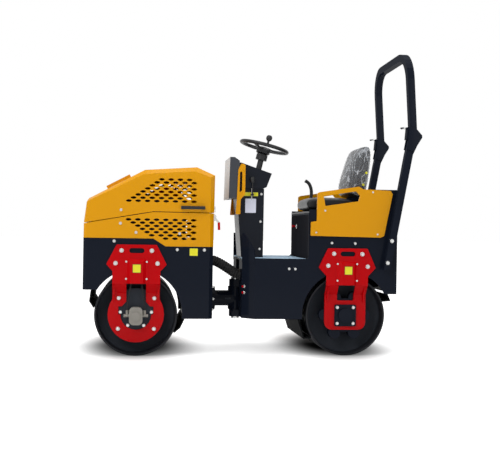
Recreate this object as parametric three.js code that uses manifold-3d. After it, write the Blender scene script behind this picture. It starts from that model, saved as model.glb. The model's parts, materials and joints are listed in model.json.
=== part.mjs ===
// Ride-on tandem drum roller with a centre joint, in millimetres, +Z up.
// -X is the way it drives, the operator looks along -X, and -Y is the machine's left-hand side.
// The origin is on the ground, under the middle of the machine's bounding box.
//
// The machine is two frames. The front frame carries the engine under a hood, the rear frame the
// console, the seat and the roll bar. Each frame straddles one smooth steel drum, which hangs between
// two red brackets. A yoke joins the frames: it swivels about an upright pin in the rear frame, and
// the front frame rolls about its level spigot.

import * as THREE from 'three';
import { ConvexGeometry } from 'three/addons/geometries/ConvexGeometry.js';
import { mergeVertices } from 'three/addons/utils/BufferGeometryUtils.js';
import Module from 'manifold-3d';

const wasm = await Module();
wasm.setup();

// ---------------------------------------------------------------- driving dimensions
const drumDiameter = 560;
const drumWidth = 700;
const wheelbase = 1447;
const frontOverhang = 357;      // front drum axle to the nose of the frame
const rearOverhang = 356;       // rear drum axle to the back of the rear frame
const rollBarReach = 501;       // rear drum axle to the rearmost corner of the roll bar's hinge
const pinFromFrontAxle = 710;   // front drum axle to the upright steering pin
const drumSideGap = 20;         // drum end to the frame's side plate
const archGap = 31;             // drum surface to the edge of the wheel arch
const plate = 10;               // frame plates
const sheet = 4;                // hood and cowl walls
const floorRise = 392;          // drum axle to the operator's floor
const jointRise = 90;           // drum axle to the level axis of the centre joint
const rollBarGap = 17;           // frame's side plate to the roll bar's post
const rollBarRise = 1850;       // drum axle to the top of the roll bar
const rollBarTube = 50;         // square tube
const consoleWidth = 300;
const seatWidth = 450;
const steeringWheelDiameter = 367;

const touch = 0.3;              // air left between pieces that are fastened together
const running = 5;              // air left between pieces that move past each other
const weld = 1;                 // how far one part of a welded piece runs into the next

// ---------------------------------------------------------------- what follows from them
const axleRise = drumDiameter / 2;
const drumRadius = drumDiameter / 2;
const frameHalf = drumWidth / 2 + drumSideGap + plate;
const archRadius = drumRadius + archGap;
const overallLength = frontOverhang + wheelbase + rollBarReach;
const frontAxleX = -overallLength / 2 + frontOverhang;
const rearAxleX = frontAxleX + wheelbase;
const frontPin = pinFromFrontAxle;              // steering pin, from the front axle
const rearPin = pinFromFrontAxle - wheelbase;   // the same pin, from the rear axle

// ---------------------------------------------------------------- finishes
const finish = (color, roughness, metalness) =>
  new THREE.MeshStandardMaterial({ color, roughness, metalness });
const yellowPaint = finish(0xe2a010, 0.45, 0.1);
const navyPaint = finish(0x232a36, 0.45, 0.2);
const redPaint = finish(0xb80f14, 0.4, 0.1);
const drumSteel = finish(0x24272b, 0.5, 0.5);
const castGrey = finish(0x96948c, 0.6, 0.5);
const zinc = finish(0xb9bcc0, 0.35, 0.9);
const blackRubber = finish(0x141416, 0.8, 0.0);
const blackPlastic = finish(0x18191c, 0.5, 0.0);
const galvanised = finish(0x8f8d88, 0.35, 0.85);
const floorPaint = finish(0x5f7383, 0.6, 0.3);
const engineGrey = finish(0x3a3d40, 0.7, 0.4);
const seatVinyl = finish(0x1a1b1e, 0.5, 0.0);
const palePaint = finish(0xb4b7b9, 0.5, 0.2);

// ---------------------------------------------------------------- solids
function solidOf(geometry) {
  const bare = geometry.index ? geometry.toNonIndexed() : geometry.clone();
  bare.deleteAttribute('normal');
  bare.deleteAttribute('uv');
  const merged = mergeVertices(bare, 1e-4);
  return new wasm.Manifold(new wasm.Mesh({
    numProp: 3,
    vertProperties: new Float32Array(merged.attributes.position.array),
    triVerts: new Uint32Array(merged.index.array),
  }));
}

function named(name, solid, material) {
  const { vertProperties, triVerts } = solid.getMesh();
  const geometry = new THREE.BufferGeometry();
  geometry.setAttribute('position', new THREE.BufferAttribute(new Float32Array(vertProperties), 3));
  geometry.setIndex(new THREE.BufferAttribute(new Uint32Array(triVerts), 1));
  geometry.computeVertexNormals();
  const mesh = new THREE.Mesh(geometry, material);
  mesh.name = name;
  return mesh;
}

const join = (solids) => solids.reduce((whole, next) => whole.add(next));

function block([x0, x1], [y0, y1], [z0, z1]) {
  const low = [Math.min(x0, x1), Math.min(y0, y1), Math.min(z0, z1)];
  const size = [Math.abs(x1 - x0), Math.abs(y1 - y0), Math.abs(z1 - z0)];
  const geometry = new THREE.BoxGeometry(...size);
  geometry.translate(low[0] + size[0] / 2, low[1] + size[1] / 2, low[2] + size[2] / 2);
  return solidOf(geometry);
}

// A round bar along one axis, from one place on it to another. at: the two other coordinates, in X, Y, Z order.
function round(axis, radius, [from, to], at, segments = 24) {
  const geometry = new THREE.CylinderGeometry(radius, radius, Math.abs(to - from), segments);
  const middle = (from + to) / 2;
  if (axis === 'x') {
    geometry.rotateZ(Math.PI / 2).translate(middle, at[0], at[1]);
  } else if (axis === 'y') {
    geometry.translate(at[0], middle, at[1]);
  } else {
    geometry.rotateX(Math.PI / 2).translate(at[0], at[1], middle);
  }
  return solidOf(geometry);
}

// A closed outline. Each corner is [a, b] or [a, b, radius], and a radius rounds it with an arc.
function outline(corners) {
  const shape = new THREE.Shape();
  const count = corners.length;
  corners.forEach(([a, b, radius = 0], i) => {
    const corner = new THREE.Vector2(a, b);
    if (radius === 0) {
      if (i === 0) shape.moveTo(a, b);
      else shape.lineTo(a, b);
      return;
    }
    const before = new THREE.Vector2(...corners[(i + count - 1) % count]).sub(corner).normalize();
    const after = new THREE.Vector2(...corners[(i + 1) % count]).sub(corner).normalize();
    const half = Math.acos(THREE.MathUtils.clamp(before.dot(after), -1, 1)) / 2;
    const reach = radius / Math.tan(half);
    const start = corner.clone().addScaledVector(before, reach);
    const end = corner.clone().addScaledVector(after, reach);
    const centre = corner.clone().addScaledVector(before.clone().add(after).normalize(), radius / Math.sin(half));
    const startAngle = Math.atan2(start.y - centre.y, start.x - centre.x);
    const endAngle = Math.atan2(end.y - centre.y, end.x - centre.x);
    const turn = before.x * after.y - before.y * after.x;
    if (i === 0) shape.moveTo(start.x, start.y);
    else shape.lineTo(start.x, start.y);
    shape.absarc(centre.x, centre.y, radius, startAngle, endAngle, turn > 0);
  });
  shape.closePath();
  return shape;
}

// The outline of a band of even thickness along a line of corners, with mitred bends.
function band(line, thickness) {
  const points = line.map(([a, b]) => new THREE.Vector2(a, b));
  const sides = [[], []];
  points.forEach((point, i) => {
    const into = i > 0 ? point.clone().sub(points[i - 1]).normalize() : null;
    const out = i < points.length - 1 ? points[i + 1].clone().sub(point).normalize() : null;
    const along = (into && out ? into.clone().add(out) : into ?? out).clone().normalize();
    const normal = new THREE.Vector2(-along.y, along.x);
    const reference = into ?? out;
    const spread = thickness / 2 / Math.abs(normal.dot(new THREE.Vector2(-reference.y, reference.x)));
    sides[0].push(point.clone().addScaledVector(normal, spread));
    sides[1].unshift(point.clone().addScaledVector(normal, -spread));
  });
  return new THREE.Shape([...sides[0], ...sides[1]]);
}

const circle = (radius, a = 0, b = 0) => new THREE.Shape().absarc(a, b, radius, 0, 2 * Math.PI, false);

const flatOf = (shape, depth, curveSegments) =>
  new THREE.ExtrudeGeometry(shape, { depth, bevelEnabled: false, curveSegments });

// An outline drawn in X and Z, carried across Y.
function acrossY(shape, [y0, y1], curveSegments = 2) {
  const geometry = flatOf(shape, Math.abs(y1 - y0), curveSegments);
  geometry.rotateX(Math.PI / 2).translate(0, Math.max(y0, y1), 0);
  return solidOf(geometry);
}

// An outline drawn in X and Y, carried up Z.
function upZ(shape, [z0, z1], curveSegments = 2) {
  const geometry = flatOf(shape, Math.abs(z1 - z0), curveSegments);
  geometry.translate(0, 0, Math.min(z0, z1));
  return solidOf(geometry);
}

// An outline drawn in Y and Z, carried along X.
function alongX(shape, [x0, x1], curveSegments = 2) {
  const geometry = flatOf(shape, Math.abs(x1 - x0), curveSegments);
  geometry.rotateX(Math.PI / 2).rotateZ(Math.PI / 2).translate(Math.min(x0, x1), 0, 0);
  return solidOf(geometry);
}

// A hose or bar of round section along a smooth curve through the points.
function hose(points, radius, { sides = 8, steps = 24 } = {}) {
  const curve = new THREE.CatmullRomCurve3(points.map((p) => new THREE.Vector3(...p)), false, 'centripetal');
  const section = new THREE.Shape();
  for (let i = 0; i < sides; i += 1) {
    const angle = (2 * Math.PI * i) / sides;
    const point = [radius * Math.cos(angle), radius * Math.sin(angle)];
    if (i === 0) section.moveTo(...point);
    else section.lineTo(...point);
  }
  return solidOf(new THREE.ExtrudeGeometry(section, { steps, extrudePath: curve, bevelEnabled: false }));
}

const sides = [['left', -1], ['right', 1]];

// ================================================================ drums
// A smooth steel shell with a web set back from each end. Each web has a round opening for the bearing.
const shellWall = 15;
const webSet = 110;             // drum end to the outer face of its web
const webWall = 12;
const webBore = 66;
const hubRadius = webBore - 4;

function drum() {
  const end = drumWidth / 2;
  const inside = drumRadius - shellWall;
  const web = end - webSet;
  const profile = [
    [webBore, -web], [inside, -web], [inside, -end], [drumRadius, -end],
    [drumRadius, end], [inside, end], [inside, web], [webBore, web],
    [webBore, web - webWall], [inside, web - webWall], [inside, webWall - web], [webBore, webWall - web],
    [webBore, -web],
  ].map(([r, y]) => new THREE.Vector2(r, y));
  return solidOf(new THREE.LatheGeometry(profile, 48));
}

// ================================================================ drum brackets
// A bracket is a plate bolted to the frame's side, bent inwards below it, and ends in a ring or an eye
// that stands just inside the drum's end.
const bracketWall = 12;
const bracketOuter = frameHalf + touch + bracketWall;   // outer face of the upper plate
const ringOuter = drumWidth / 2 - 10;                   // outer face of the lower plate
const ringInner = ringOuter - bracketWall;
const legReach = 160;
const bendTop = Math.floor(Math.sqrt((drumRadius - shellWall) ** 2 - legReach ** 2));
const bendFoot = bendTop - 66;
const ribHeight = 100;

function bracketBend(legs, side) {
  const slope = outline([
    [side * bracketOuter, bendTop + weld], [side * bracketOuter, bendTop],
    [side * ringOuter, bendFoot], [side * ringOuter, bendFoot - weld],
    [side * ringInner, bendFoot - weld], [side * ringInner, bendFoot],
    [side * (bracketOuter - bracketWall), bendTop], [side * (bracketOuter - bracketWall), bendTop + weld],
  ]);
  return legs.map((span) => alongX(slope, span));
}

function bracketRib(x, side) {
  const rib = outline([
    [side * (bracketOuter - 1), bendTop - 12], [side * (ringOuter - 1), bendFoot - 2],
    [side * (ringOuter - 1), bendFoot - ribHeight + 35], [side * (bracketOuter - 24), bendTop - 42],
  ]);
  return alongX(rib, [x - 5, x + 5]);
}

const coverHalf = 80;
const coverSpan = [216, 385];
const coverDepth = 25;

function bracketCover(side) {
  const y = bracketOuter - 1;
  const points = [];
  for (const [x, z] of [[-1, 0], [1, 0], [-1, 1], [1, 1]]) {
    const inset = 22;
    points.push(new THREE.Vector3(x * (coverHalf - 14), side * y, coverSpan[z] - z * 4));
    points.push(new THREE.Vector3(x * (coverHalf - 14 - inset), side * (y + coverDepth), coverSpan[z] - z * (4 + inset)));
  }
  const flange = block([-coverHalf, coverHalf], [side * y, side * (y + 4)], coverSpan);
  return solidOf(new ConvexGeometry(points)).add(flange);
}

function bracketUpper(corners, slot, side) {
  const upper = acrossY(outline(corners), [side * bracketOuter, side * (bracketOuter - bracketWall)]);
  const [x0, x1, z0, z1] = slot;
  const r = (z1 - z0) / 2;
  const hole = outline([[x0, z0, r * 0.98], [x1, z0, r * 0.98], [x1, z1, r * 0.98], [x0, z1, r * 0.98]]);
  return upper.subtract(acrossY(hole, [side * (bracketOuter + 2), side * (bracketOuter - bracketWall - 2)]));
}

const ringRadius = 190;
const ringBore = 104;
const frontLegs = [[-legReach, -66], [66, legReach]];

function frontBracket(side) {
  const upper = bracketUpper([
    [-134, 475, 10], [134, 475, 10], [202, 342, 8], [legReach, 296], [legReach, bendTop],
    [-legReach, bendTop], [-legReach, 296], [-202, 342, 8],
  ], [-50, 52, 418, 452], side);
  const span = [side * ringOuter, side * ringInner];
  const ring = acrossY(circle(ringRadius), span, 16);
  const legs = frontLegs.map((x) => block(x, span, [60, bendFoot]));
  const window = outline([
    [-66, ringRadius + 10], [-66, 88], [-95, 55], [-118, 55], [-118, 0], [-100, 0],
    [100, 0], [118, 0], [118, 55], [95, 55], [66, 88], [66, ringRadius + 10],
  ]);
  const cut = [side * (ringOuter + 5), side * (ringInner - 5)];
  const lower = join([ring, ...legs])
    .subtract(acrossY(window, cut))
    .subtract(acrossY(circle(ringBore), cut, 12));
  const ribs = [-148, 148].map((x) => bracketRib(x, side));
  return join([upper, ...bracketBend(frontLegs, side), lower, ...ribs, bracketCover(side)]);
}

const rearLegs = [[-146, -58], [60, 146]];

function rearBracket(side) {
  const upper = bracketUpper([
    [-136, 468, 12], [142, 468, 12], [202, 334, 8], [148, 276], [148, bendTop],
    [-146, bendTop], [-146, 276], [-200, 334, 8],
  ], [-48, 56, 413, 446], side);
  const lower = acrossY(outline([
    [-146, bendFoot], [-146, -101, 52], [146, -101, 52], [146, bendFoot],
    [60, bendFoot], [58, 103, 8], [-58, 103, 8], [-58, bendFoot],
  ]), [side * ringOuter, side * ringInner]);
  const ribs = [-128, 128].map((x) => bracketRib(x, side));
  return join([upper, ...bracketBend(rearLegs, side), lower, ...ribs, bracketCover(side)]);
}

// The front bearing: a round plate bolted behind the ring, with a neck in the drum's web.
const neckEnd = drumWidth / 2 - webSet - webWall - 20;

function frontBearing(side) {
  const face = ringInner - touch;
  const disc = round('y', 178, [side * (face - 14), side * face], [0, 0], 36);
  const neck = round('y', hubRadius, [side * neckEnd, side * (face - 10)], [0, 0], 28);
  return disc.add(neck);
}

// The drive motor: a squared casting through the ring, fastened to the bearing plate.
function driveMotor(side) {
  const face = side * ringInner;
  const portAt = side * (drumWidth / 2 + hoseRadius + running);
  const body = acrossY(outline([[-45, -68, 30], [45, -68, 30], [45, 52, 30], [-45, 52, 30]]),
    [face, face + side * 62], 4);
  const nose = round('y', 30, [face + side * 60, face + side * 72], [0, -8], 32);
  const ports = [-1, 1].flatMap((way) => [
    round('x', 11, [way * 40, way * 82], [portAt, -6], 16),
    round('z', 10, [-8, 30], [way * 58, portAt], 16),
  ]);
  return join([body, nose, ...ports]);
}

// The rear bearing: a disc with six round rubber buffers near its edge, and a neck in the drum's web.
const bufferCircle = 140;
const bufferRadius = 43;

function rearBearing(side) {
  const face = ringInner - touch;
  const disc = round('y', 118, [side * (face - 16), side * face], [0, 0], 28);
  const buffers = [0, 1, 2, 3, 4, 5].map((i) => {
    const at = [bufferCircle * Math.cos((i * Math.PI) / 3), bufferCircle * Math.sin((i * Math.PI) / 3)];
    return round('y', bufferRadius, [side * (face - 46), side * face], at, 20);
  });
  const neck = round('y', hubRadius, [side * neckEnd, side * (face - 10)], [0, 0], 28);
  return join([disc, ...buffers, neck]);
}

function rearCap(side) {
  const face = ringOuter + touch;
  const square = acrossY(outline([[-76, -76, 10], [77, -76, 10], [77, 75, 10], [-76, 75, 10]]),
    [side * face, side * (face + 10)]);
  const boss = round('y', 51, [side * (face + 9), side * (face + 26)], [0, 0], 28);
  return square.add(boss);
}

// ================================================================ scrapers
// A scraper is an angle under the frame's edge, with a blade that points at the drum's surface.
function scraper(mount, contactAngle, lean) {
  const tip = [
    (drumRadius + running) * Math.cos(contactAngle),
    (drumRadius + running) * Math.sin(contactAngle),
  ];
  const heel = [tip[0] + 52 * Math.cos(lean), tip[1] + 52 * Math.sin(lean)];
  const half = drumWidth / 2 - 6;
  return acrossY(band([tip, heel, mount], 9), [-half, half]);
}

// ================================================================ front section
const front = new THREE.Group();
front.position.set(frontAxleX, 0, axleRise);

const noseChamfer = 22;
const frontRear = 517;          // front axle to the back of the front frame
const rearChamfer = 25;
const noseFoot = 169;           // lower edges of the frame, from the drum axle
const skirtFoot = -25;
const cowlFoot = 517;           // lower edge of the yellow cowl at the nose
const cowlStep = 465;           // and behind the step
const stepX = [109, 193];
const deckRise = 330;

function frontFrame() {
  const archStart = -Math.sqrt(archRadius ** 2 - noseFoot ** 2);
  const archEnd = Math.sqrt(archRadius ** 2 - skirtFoot ** 2);
  const side = new THREE.Shape();
  side.moveTo(noseChamfer - frontOverhang, noseFoot);
  side.lineTo(archStart, noseFoot);
  side.absarc(0, 0, archRadius, Math.atan2(noseFoot, archStart), Math.atan2(skirtFoot, archEnd), true);
  side.lineTo(frontRear - rearChamfer, skirtFoot);
  side.lineTo(frontRear - rearChamfer, cowlStep);
  side.lineTo(stepX[1], cowlStep);
  side.lineTo(stepX[0], cowlFoot);
  side.lineTo(noseChamfer - frontOverhang, cowlFoot);
  side.closePath();
  const walls = sides.map(([, way]) => acrossY(side, [way * frameHalf, way * (frameHalf - plate)], 24));

  // The nose and the back are plates with their upright edges bent back to meet the sides.
  const noseX = -frontOverhang;
  const nosePlan = outline([
    [noseX + noseChamfer, -frameHalf], [noseX, noseChamfer - frameHalf],
    [noseX, frameHalf - noseChamfer], [noseX + noseChamfer, frameHalf],
    [noseX + noseChamfer + 4, frameHalf - plate], [noseX + plate, frameHalf - noseChamfer - 4],
    [noseX + plate, noseChamfer + 4 - frameHalf], [noseX + noseChamfer + 4, plate - frameHalf],
  ]);
  const nose = upZ(nosePlan, [noseFoot, cowlFoot]);
  const backPlan = outline([
    [frontRear - rearChamfer, frameHalf], [frontRear, frameHalf - rearChamfer],
    [frontRear, rearChamfer - frameHalf], [frontRear - rearChamfer, -frameHalf],
    [frontRear - rearChamfer - 4, plate - frameHalf], [frontRear - plate, rearChamfer + 4 - frameHalf],
    [frontRear - plate, frameHalf - rearChamfer - 4], [frontRear - rearChamfer - 4, frameHalf - plate],
  ]);
  const back = upZ(backPlan, [skirtFoot, cowlStep]);
  const deck = block([noseX + plate - 1, frontRear - plate + 1], [1 - frameHalf, frameHalf - 1],
    [deckRise - plate, deckRise]);
  const bulkhead = block([archEnd + 14, archEnd + 24], [1 - frameHalf, frameHalf - 1], [skirtFoot, deckRise - 1]);

  // The bearing of the level spigot: a stepped round flange on the back plate.
  const bearing = join([
    round('x', 104, [frontRear - 1, frontRear + 22], [0, jointRise], 28),
    round('x', 84, [frontRear + 20, frontRear + 42], [0, jointRise], 28),
  ]);
  const bore = round('x', spigotRadius + 2, [frontRear - 30, frontRear + 60], [0, jointRise], 28);
  return join([...walls, nose, back, deck, bulkhead, bearing]).subtract(bore);
}

// ---- centre joint sizes
const spigotRadius = 38;
const yokeTubeRadius = 56;
const bearingEnd = frontRear + 42;

// The cover over the engine is one folded box. A sloping seam parts it into the cowl, which stays, and
// the hood, which lifts.
const coverHalfWidth = frameHalf - 2;
const roofChamfer = 30;
const ridgeRise = 1008;         // top of the roof at the back, from the drum axle
const frontRidgeRise = 982;
const browRise = 782;
const seam = [[-frontOverhang - 40, 610], [-frontOverhang + 12, 618], [106, 699], [frontRear + 60, 696]];
const seamGap = 5;

function coverHull(inset, foot) {
  const points = [];
  for (const way of [-1, 1]) {
    const wall = way * (coverHalfWidth - inset);
    const shoulder = way * (coverHalfWidth - roofChamfer - inset * 0.4);
    const cheek = way * (coverHalfWidth - 12 - inset * 0.6);
    const at = (x, y, z) => points.push(new THREE.Vector3(x, y, z));
    const noseX = -frontOverhang + 1 + inset;
    const tailX = frontRear + 7 - inset;
    at(noseX + 12, wall, foot);
    at(noseX + 12, wall, 620);
    at(noseX + 22, wall, browRise - 22 - inset);
    at(noseX + 44, wall, browRise - 10 - inset);
    at(44, wall, frontRidgeRise - roofChamfer - inset);
    at(386, wall, ridgeRise - roofChamfer - inset);
    at(tailX - roofChamfer, wall, 939 - inset * 0.5);
    at(tailX - roofChamfer, wall, foot);
    at(noseX, cheek, foot);
    at(noseX + 1, cheek, 618);
    at(noseX + 18, cheek, browRise - 24 - inset);
    at(noseX + 31, shoulder, browRise - inset);
    at(47, shoulder, frontRidgeRise - inset);
    at(399, shoulder, ridgeRise - inset);
    at(tailX, shoulder, 954 - inset * 0.5);
    at(tailX - 5, shoulder, foot);
  }
  return solidOf(new ConvexGeometry(points));
}

function coverShell() {
  return coverHull(0, cowlStep + touch).subtract(coverHull(sheet, cowlStep - 20));
}

function seamBand(lift, above) {
  const far = above ? 2000 : -2000;
  const line = seam.map(([x, z]) => [x, z + lift]);
  const shape = new THREE.Shape([...line, [line[3][0], far], [line[0][0], far]].map(([a, b]) => new THREE.Vector2(a, b)));
  return acrossY(shape, [-frameHalf - 100, frameHalf + 100]);
}

function engineCowl() {
  // Ahead of the step the cowl's foot follows the top edge of the front frame's side.
  const foot = acrossY(outline([
    [-frontOverhang - 20, cowlStep - 40], [stepX[1], cowlStep - 40], [stepX[1], cowlStep + touch],
    [stepX[0], cowlFoot + touch], [-frontOverhang - 20, cowlFoot + touch],
  ]), [-frameHalf - 20, frameHalf + 20]);
  const latches = sides.map(([, way]) => {
    const y = way * (coverHalfWidth - 42);
    const span = [y - 14, y + 14];
    const body = acrossY(outline([
      [frontRear - 3, 640], [frontRear + 16, 646], [frontRear + 20, 676], [frontRear + 10, 690], [frontRear - 3, 690],
    ]), span);
    const lever = acrossY(band([[frontRear + 12, 662], [frontRear + 38, 632], [frontRear + 40, 586]], 12), span);
    return body.add(lever);
  });
  return join([coverShell().intersect(seamBand(-seamGap / 2, false)).subtract(foot), ...latches]);
}

function hoodSolid() {
  const shell = coverShell().intersect(seamBand(seamGap / 2, true));
  // A raised lid over the air intake lies on the slope of the nose.
  const slope = Math.atan2(frontRidgeRise - browRise, 47 + frontOverhang - 32);
  const lid = new THREE.BoxGeometry(180, 2 * 190, 60);
  lid.rotateY(-slope).translate(-124, 0, browRise + (frontOverhang - 32 - 124) * Math.tan(slope));
  const handles = sides.map(([, way]) => {
    const wall = way * coverHalfWidth;
    const out = wall + way * 34;
    const feet = [[293, 313], [435, 455]].map((x) => block(x, [wall - way * 2, out], [719, 741]));
    return join([...feet, block([293, 455], [out - way * 12, out], [719, 741])]);
  });
  return join([shell, solidOf(lid).subtract(coverHull(sheet, cowlStep - 20)), ...handles]);
}

// ---- motor hoses: thin braided lines from the drive motor up behind the bracket to the engine deck
const hoseRadius = 5;

function motorHose(way) {
  const y = -(drumWidth / 2 + hoseRadius + running);
  const top = deckRise - plate - touch;
  return hose([
    [way * 58, y, 30 + touch], [way * 57, y, 60], [way * 50, y, 110], [way * 42, y, 165],
    [way * 36, y, 215], [way * 30, y, 262], [way * 30, y, top],
  ], hoseRadius, { steps: 20 });
}

front.add(named('front_frame', frontFrame(), navyPaint));
front.add(named('engine_cowl', engineCowl(), yellowPaint));
front.add(named('hood', hoodSolid(), yellowPaint));
front.add(named('engine_block', block([-150, 330], [-190, 190], [deckRise + touch, 800]), engineGrey));
front.add(named('front_drum', drum(), drumSteel));
for (const [label, way] of sides) {
  front.add(named(`front_bracket_${label}`, frontBracket(way), redPaint));
  front.add(named(`front_bearing_${label}`, frontBearing(way), navyPaint));
}
front.add(named('front_drive_motor', driveMotor(-1), castGrey));
front.add(named('front_vibration_motor', driveMotor(1), castGrey));
front.add(named('motor_hose_front', motorHose(-1), blackRubber));
front.add(named('motor_hose_rear', motorHose(1), blackRubber));
front.add(named('front_scraper_ahead', scraper([-300, noseFoot - touch - 5], Math.PI * 0.948, Math.PI * 0.68), blackRubber));
front.add(named('front_scraper_behind', scraper([325, skirtFoot - touch - 5], -Math.PI * 0.14, Math.PI * 0.22), blackRubber));

// ================================================================ rear section
const rear = new THREE.Group();
rear.position.set(rearAxleX, 0, axleRise);

const frontPlateX = rearPin + 14;      // outer face of the plate behind the steering pin
const frontCorner = 78;                // its bent corners, along and across
const pocketX = rearPin + 72;          // the plate steps back round the yoke
const pocketHalf = 84;
const rearFoot = 152;
const sillX = -267;                    // front edge of the seat's side plates
const sideTop = [734, 880];            // top edge of the side plates, ahead and behind
const deckLow = 382;

function rearFrame() {
  const archFront = -Math.sqrt(archRadius ** 2 - skirtFoot ** 2);
  const archRear = Math.sqrt(archRadius ** 2 - rearFoot ** 2);
  const side = new THREE.Shape();
  side.moveTo(frontPlateX + frontCorner, skirtFoot);
  side.lineTo(archFront, skirtFoot);
  side.absarc(0, 0, archRadius, Math.atan2(skirtFoot, archFront) + 2 * Math.PI, Math.atan2(rearFoot, archRear), true);
  side.lineTo(rearOverhang, rearFoot);
  side.lineTo(rearOverhang, sideTop[1]);
  side.lineTo(176, sideTop[1]);
  side.lineTo(130, sideTop[0]);
  side.lineTo(sillX, sideTop[0]);
  side.lineTo(sillX, floorRise + 14);
  side.lineTo(sillX - 14, floorRise);
  side.lineTo(frontPlateX + frontCorner, floorRise);
  side.closePath();
  const walls = sides.map(([, way]) => acrossY(side, [way * frameHalf, way * (frameHalf - plate)], 24));

  const cornerY = frameHalf - frontCorner;
  const mouth = pocketHalf + 26;
  const frontPlan = outline([
    [frontPlateX + frontCorner, frameHalf], [frontPlateX, cornerY], [frontPlateX, mouth],
    [pocketX, pocketHalf], [pocketX, -pocketHalf], [frontPlateX, -mouth], [frontPlateX, -cornerY],
    [frontPlateX + frontCorner, -frameHalf], [frontPlateX + frontCorner + 4, plate - frameHalf],
    [frontPlateX + plate, 4 - cornerY], [frontPlateX + plate, -mouth - 4], [pocketX + plate, -pocketHalf - 4],
    [pocketX + plate, pocketHalf + 4], [frontPlateX + plate, mouth + 4], [frontPlateX + plate, cornerY - 4],
    [frontPlateX + frontCorner + 4, frameHalf - plate],
  ]);
  const frontPlate = upZ(frontPlan, [skirtFoot, deckLow]);
  const wide = [1 - frameHalf, frameHalf - 1];
  const deck = upZ(outline([
    [frontPlateX + 1, 1 - cornerY], [frontPlateX + frontCorner, 1 - frameHalf],
    [rearOverhang - 1, 1 - frameHalf], [rearOverhang - 1, frameHalf - 1], [frontPlateX + frontCorner, frameHalf - 1],
    [frontPlateX + 1, cornerY - 1],
  ]), [deckLow - plate, deckLow]);
  const bulkhead = block([archFront - 24, archFront - 14], wide, [skirtFoot, deckLow - 1]);
  const back = block([rearOverhang - plate, rearOverhang], wide, [rearFoot, sideTop[1]]);
  const window = block([frontPlateX - 20, pocketX + plate + 10], [-78, 204], [jointRise - 62, jointRise + 62]);
  const ears = [[earTop[0], earTop[1]], [earFoot[0], earFoot[1]]].map((z) => upZ(outline([
    [rearPin - 44, -46, 34], [rearPin - 44, 46, 34], [pocketX + weld, pocketHalf], [pocketX + weld, -pocketHalf],
  ]), z));
  const pinHole = round('z', pinRadius + touch, [skirtFoot - 60, jointRise + 200], [rearPin, 0], 24);
  return join([...walls, frontPlate.subtract(window), deck, bulkhead, back, ...ears]).subtract(pinHole);
}

// ---- the upright joint: two ears on the rear frame's front plate, a pin, and the yoke between them
const pinRadius = 22;
const earTop = [jointRise + 87, jointRise + 137];
const earFoot = [jointRise - 129, jointRise - 79];

function steeringPin() {
  return join([
    round('z', pinRadius, [earFoot[0] - 6, earTop[1] + 6], [rearPin, 0], 24),
    round('z', 34, [earTop[1] + 1, earTop[1] + 14], [rearPin, 0], 24),
    round('z', 30, [earFoot[0] - 14, earFoot[0] - 1], [rearPin, 0], 24),
  ]);
}

// ---- yoke: an upright sleeve on the pin and a level spigot in the front frame's bearing
const armReach = 96;
const armAngle = 2.1;           // of the steering arm about the pin, from +X
const armEyeBore = 22;

function yoke() {
  const sleeve = round('z', 54, [earFoot[1] + 1, earTop[0] - 1], [rearPin, 0], 28);
  const pinX = rearPin;
  const fromFront = (x) => x + rearPin - frontPin;
  const tube = round('x', yokeTubeRadius, [fromFront(bearingEnd + 2), pinX], [0, jointRise], 28);
  const spigot = round('x', spigotRadius, [fromFront(frontRear - 24), pinX], [0, jointRise], 28);
  const eye = [pinX + armReach * Math.cos(armAngle), armReach * Math.sin(armAngle)];
  const arm = upZ(band([[pinX, 0], eye], 34), [jointRise - 12, jointRise + 12])
    .add(round('z', armEyeBore + 6, [jointRise - 12, jointRise + 12], eye, 20));
  return join([sleeve, tube, spigot, arm])
    .subtract(round('z', pinRadius + 1, [earFoot[0], earTop[1]], [pinX, 0], 24))
    .subtract(round('z', armEyeBore, [jointRise - 20, jointRise + 20], eye, 20));
}

// ---- steering cylinder, on the right inside the rear frame
const cylinderFoot = [rearPin + 330, 128];
const armEye = [rearPin + armReach * Math.cos(armAngle), armReach * Math.sin(armAngle)];
const cylinderRadius = 25;
const rodRadius = 11;
const cylinderLine = new THREE.Vector2(armEye[0] - cylinderFoot[0], armEye[1] - cylinderFoot[1]);
const cylinderLength = cylinderLine.length();
const cylinderTurn = Math.atan2(cylinderLine.y, cylinderLine.x);
const barrelLength = 190;

function alongCylinder(solidGeometry) {
  return solidOf(solidGeometry.rotateZ(cylinderTurn).translate(cylinderFoot[0], cylinderFoot[1], jointRise));
}

const rodBar = (radius, from, to, segments = 20) =>
  new THREE.CylinderGeometry(radius, radius, to - from, segments).rotateZ(Math.PI / 2).translate((from + to) / 2, 0, 0);

function cylinderBarrel() {
  const tube = alongCylinder(rodBar(cylinderRadius, 40, barrelLength));
  const tongue = alongCylinder(new THREE.BoxGeometry(44, 30, 28).translate(22, 0, 0));
  const bore = join([
    alongCylinder(rodBar(cylinderRadius - 7, 50, barrelLength - 16)),
    alongCylinder(rodBar(rodRadius + 1, barrelLength - 20, barrelLength + 5)),
  ]);
  const eye = round('z', 24, [jointRise - 14, jointRise + 14], cylinderFoot, 20);
  const hole = round('z', 11, [jointRise - 20, jointRise + 20], cylinderFoot, 16);
  return join([tube, tongue, eye]).subtract(hole).subtract(bore);
}

function cylinderRod() {
  const rod = alongCylinder(rodBar(rodRadius, 106, cylinderLength - 52));
  const piston = alongCylinder(rodBar(cylinderRadius - 7 - touch, 104, 122));
  const forkBack = alongCylinder(new THREE.BoxGeometry(14, 28, 60).translate(cylinderLength - 54, 0, 0));
  const cheeks = [-1, 1].map((way) =>
    alongCylinder(new THREE.BoxGeometry(74, 28, 12).translate(cylinderLength - 22, 0, way * 24)));
  const pin = round('z', 10, [jointRise - 26, jointRise + 26], armEye, 16);
  return join([rod, piston, forkBack, ...cheeks, pin]);
}

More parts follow.
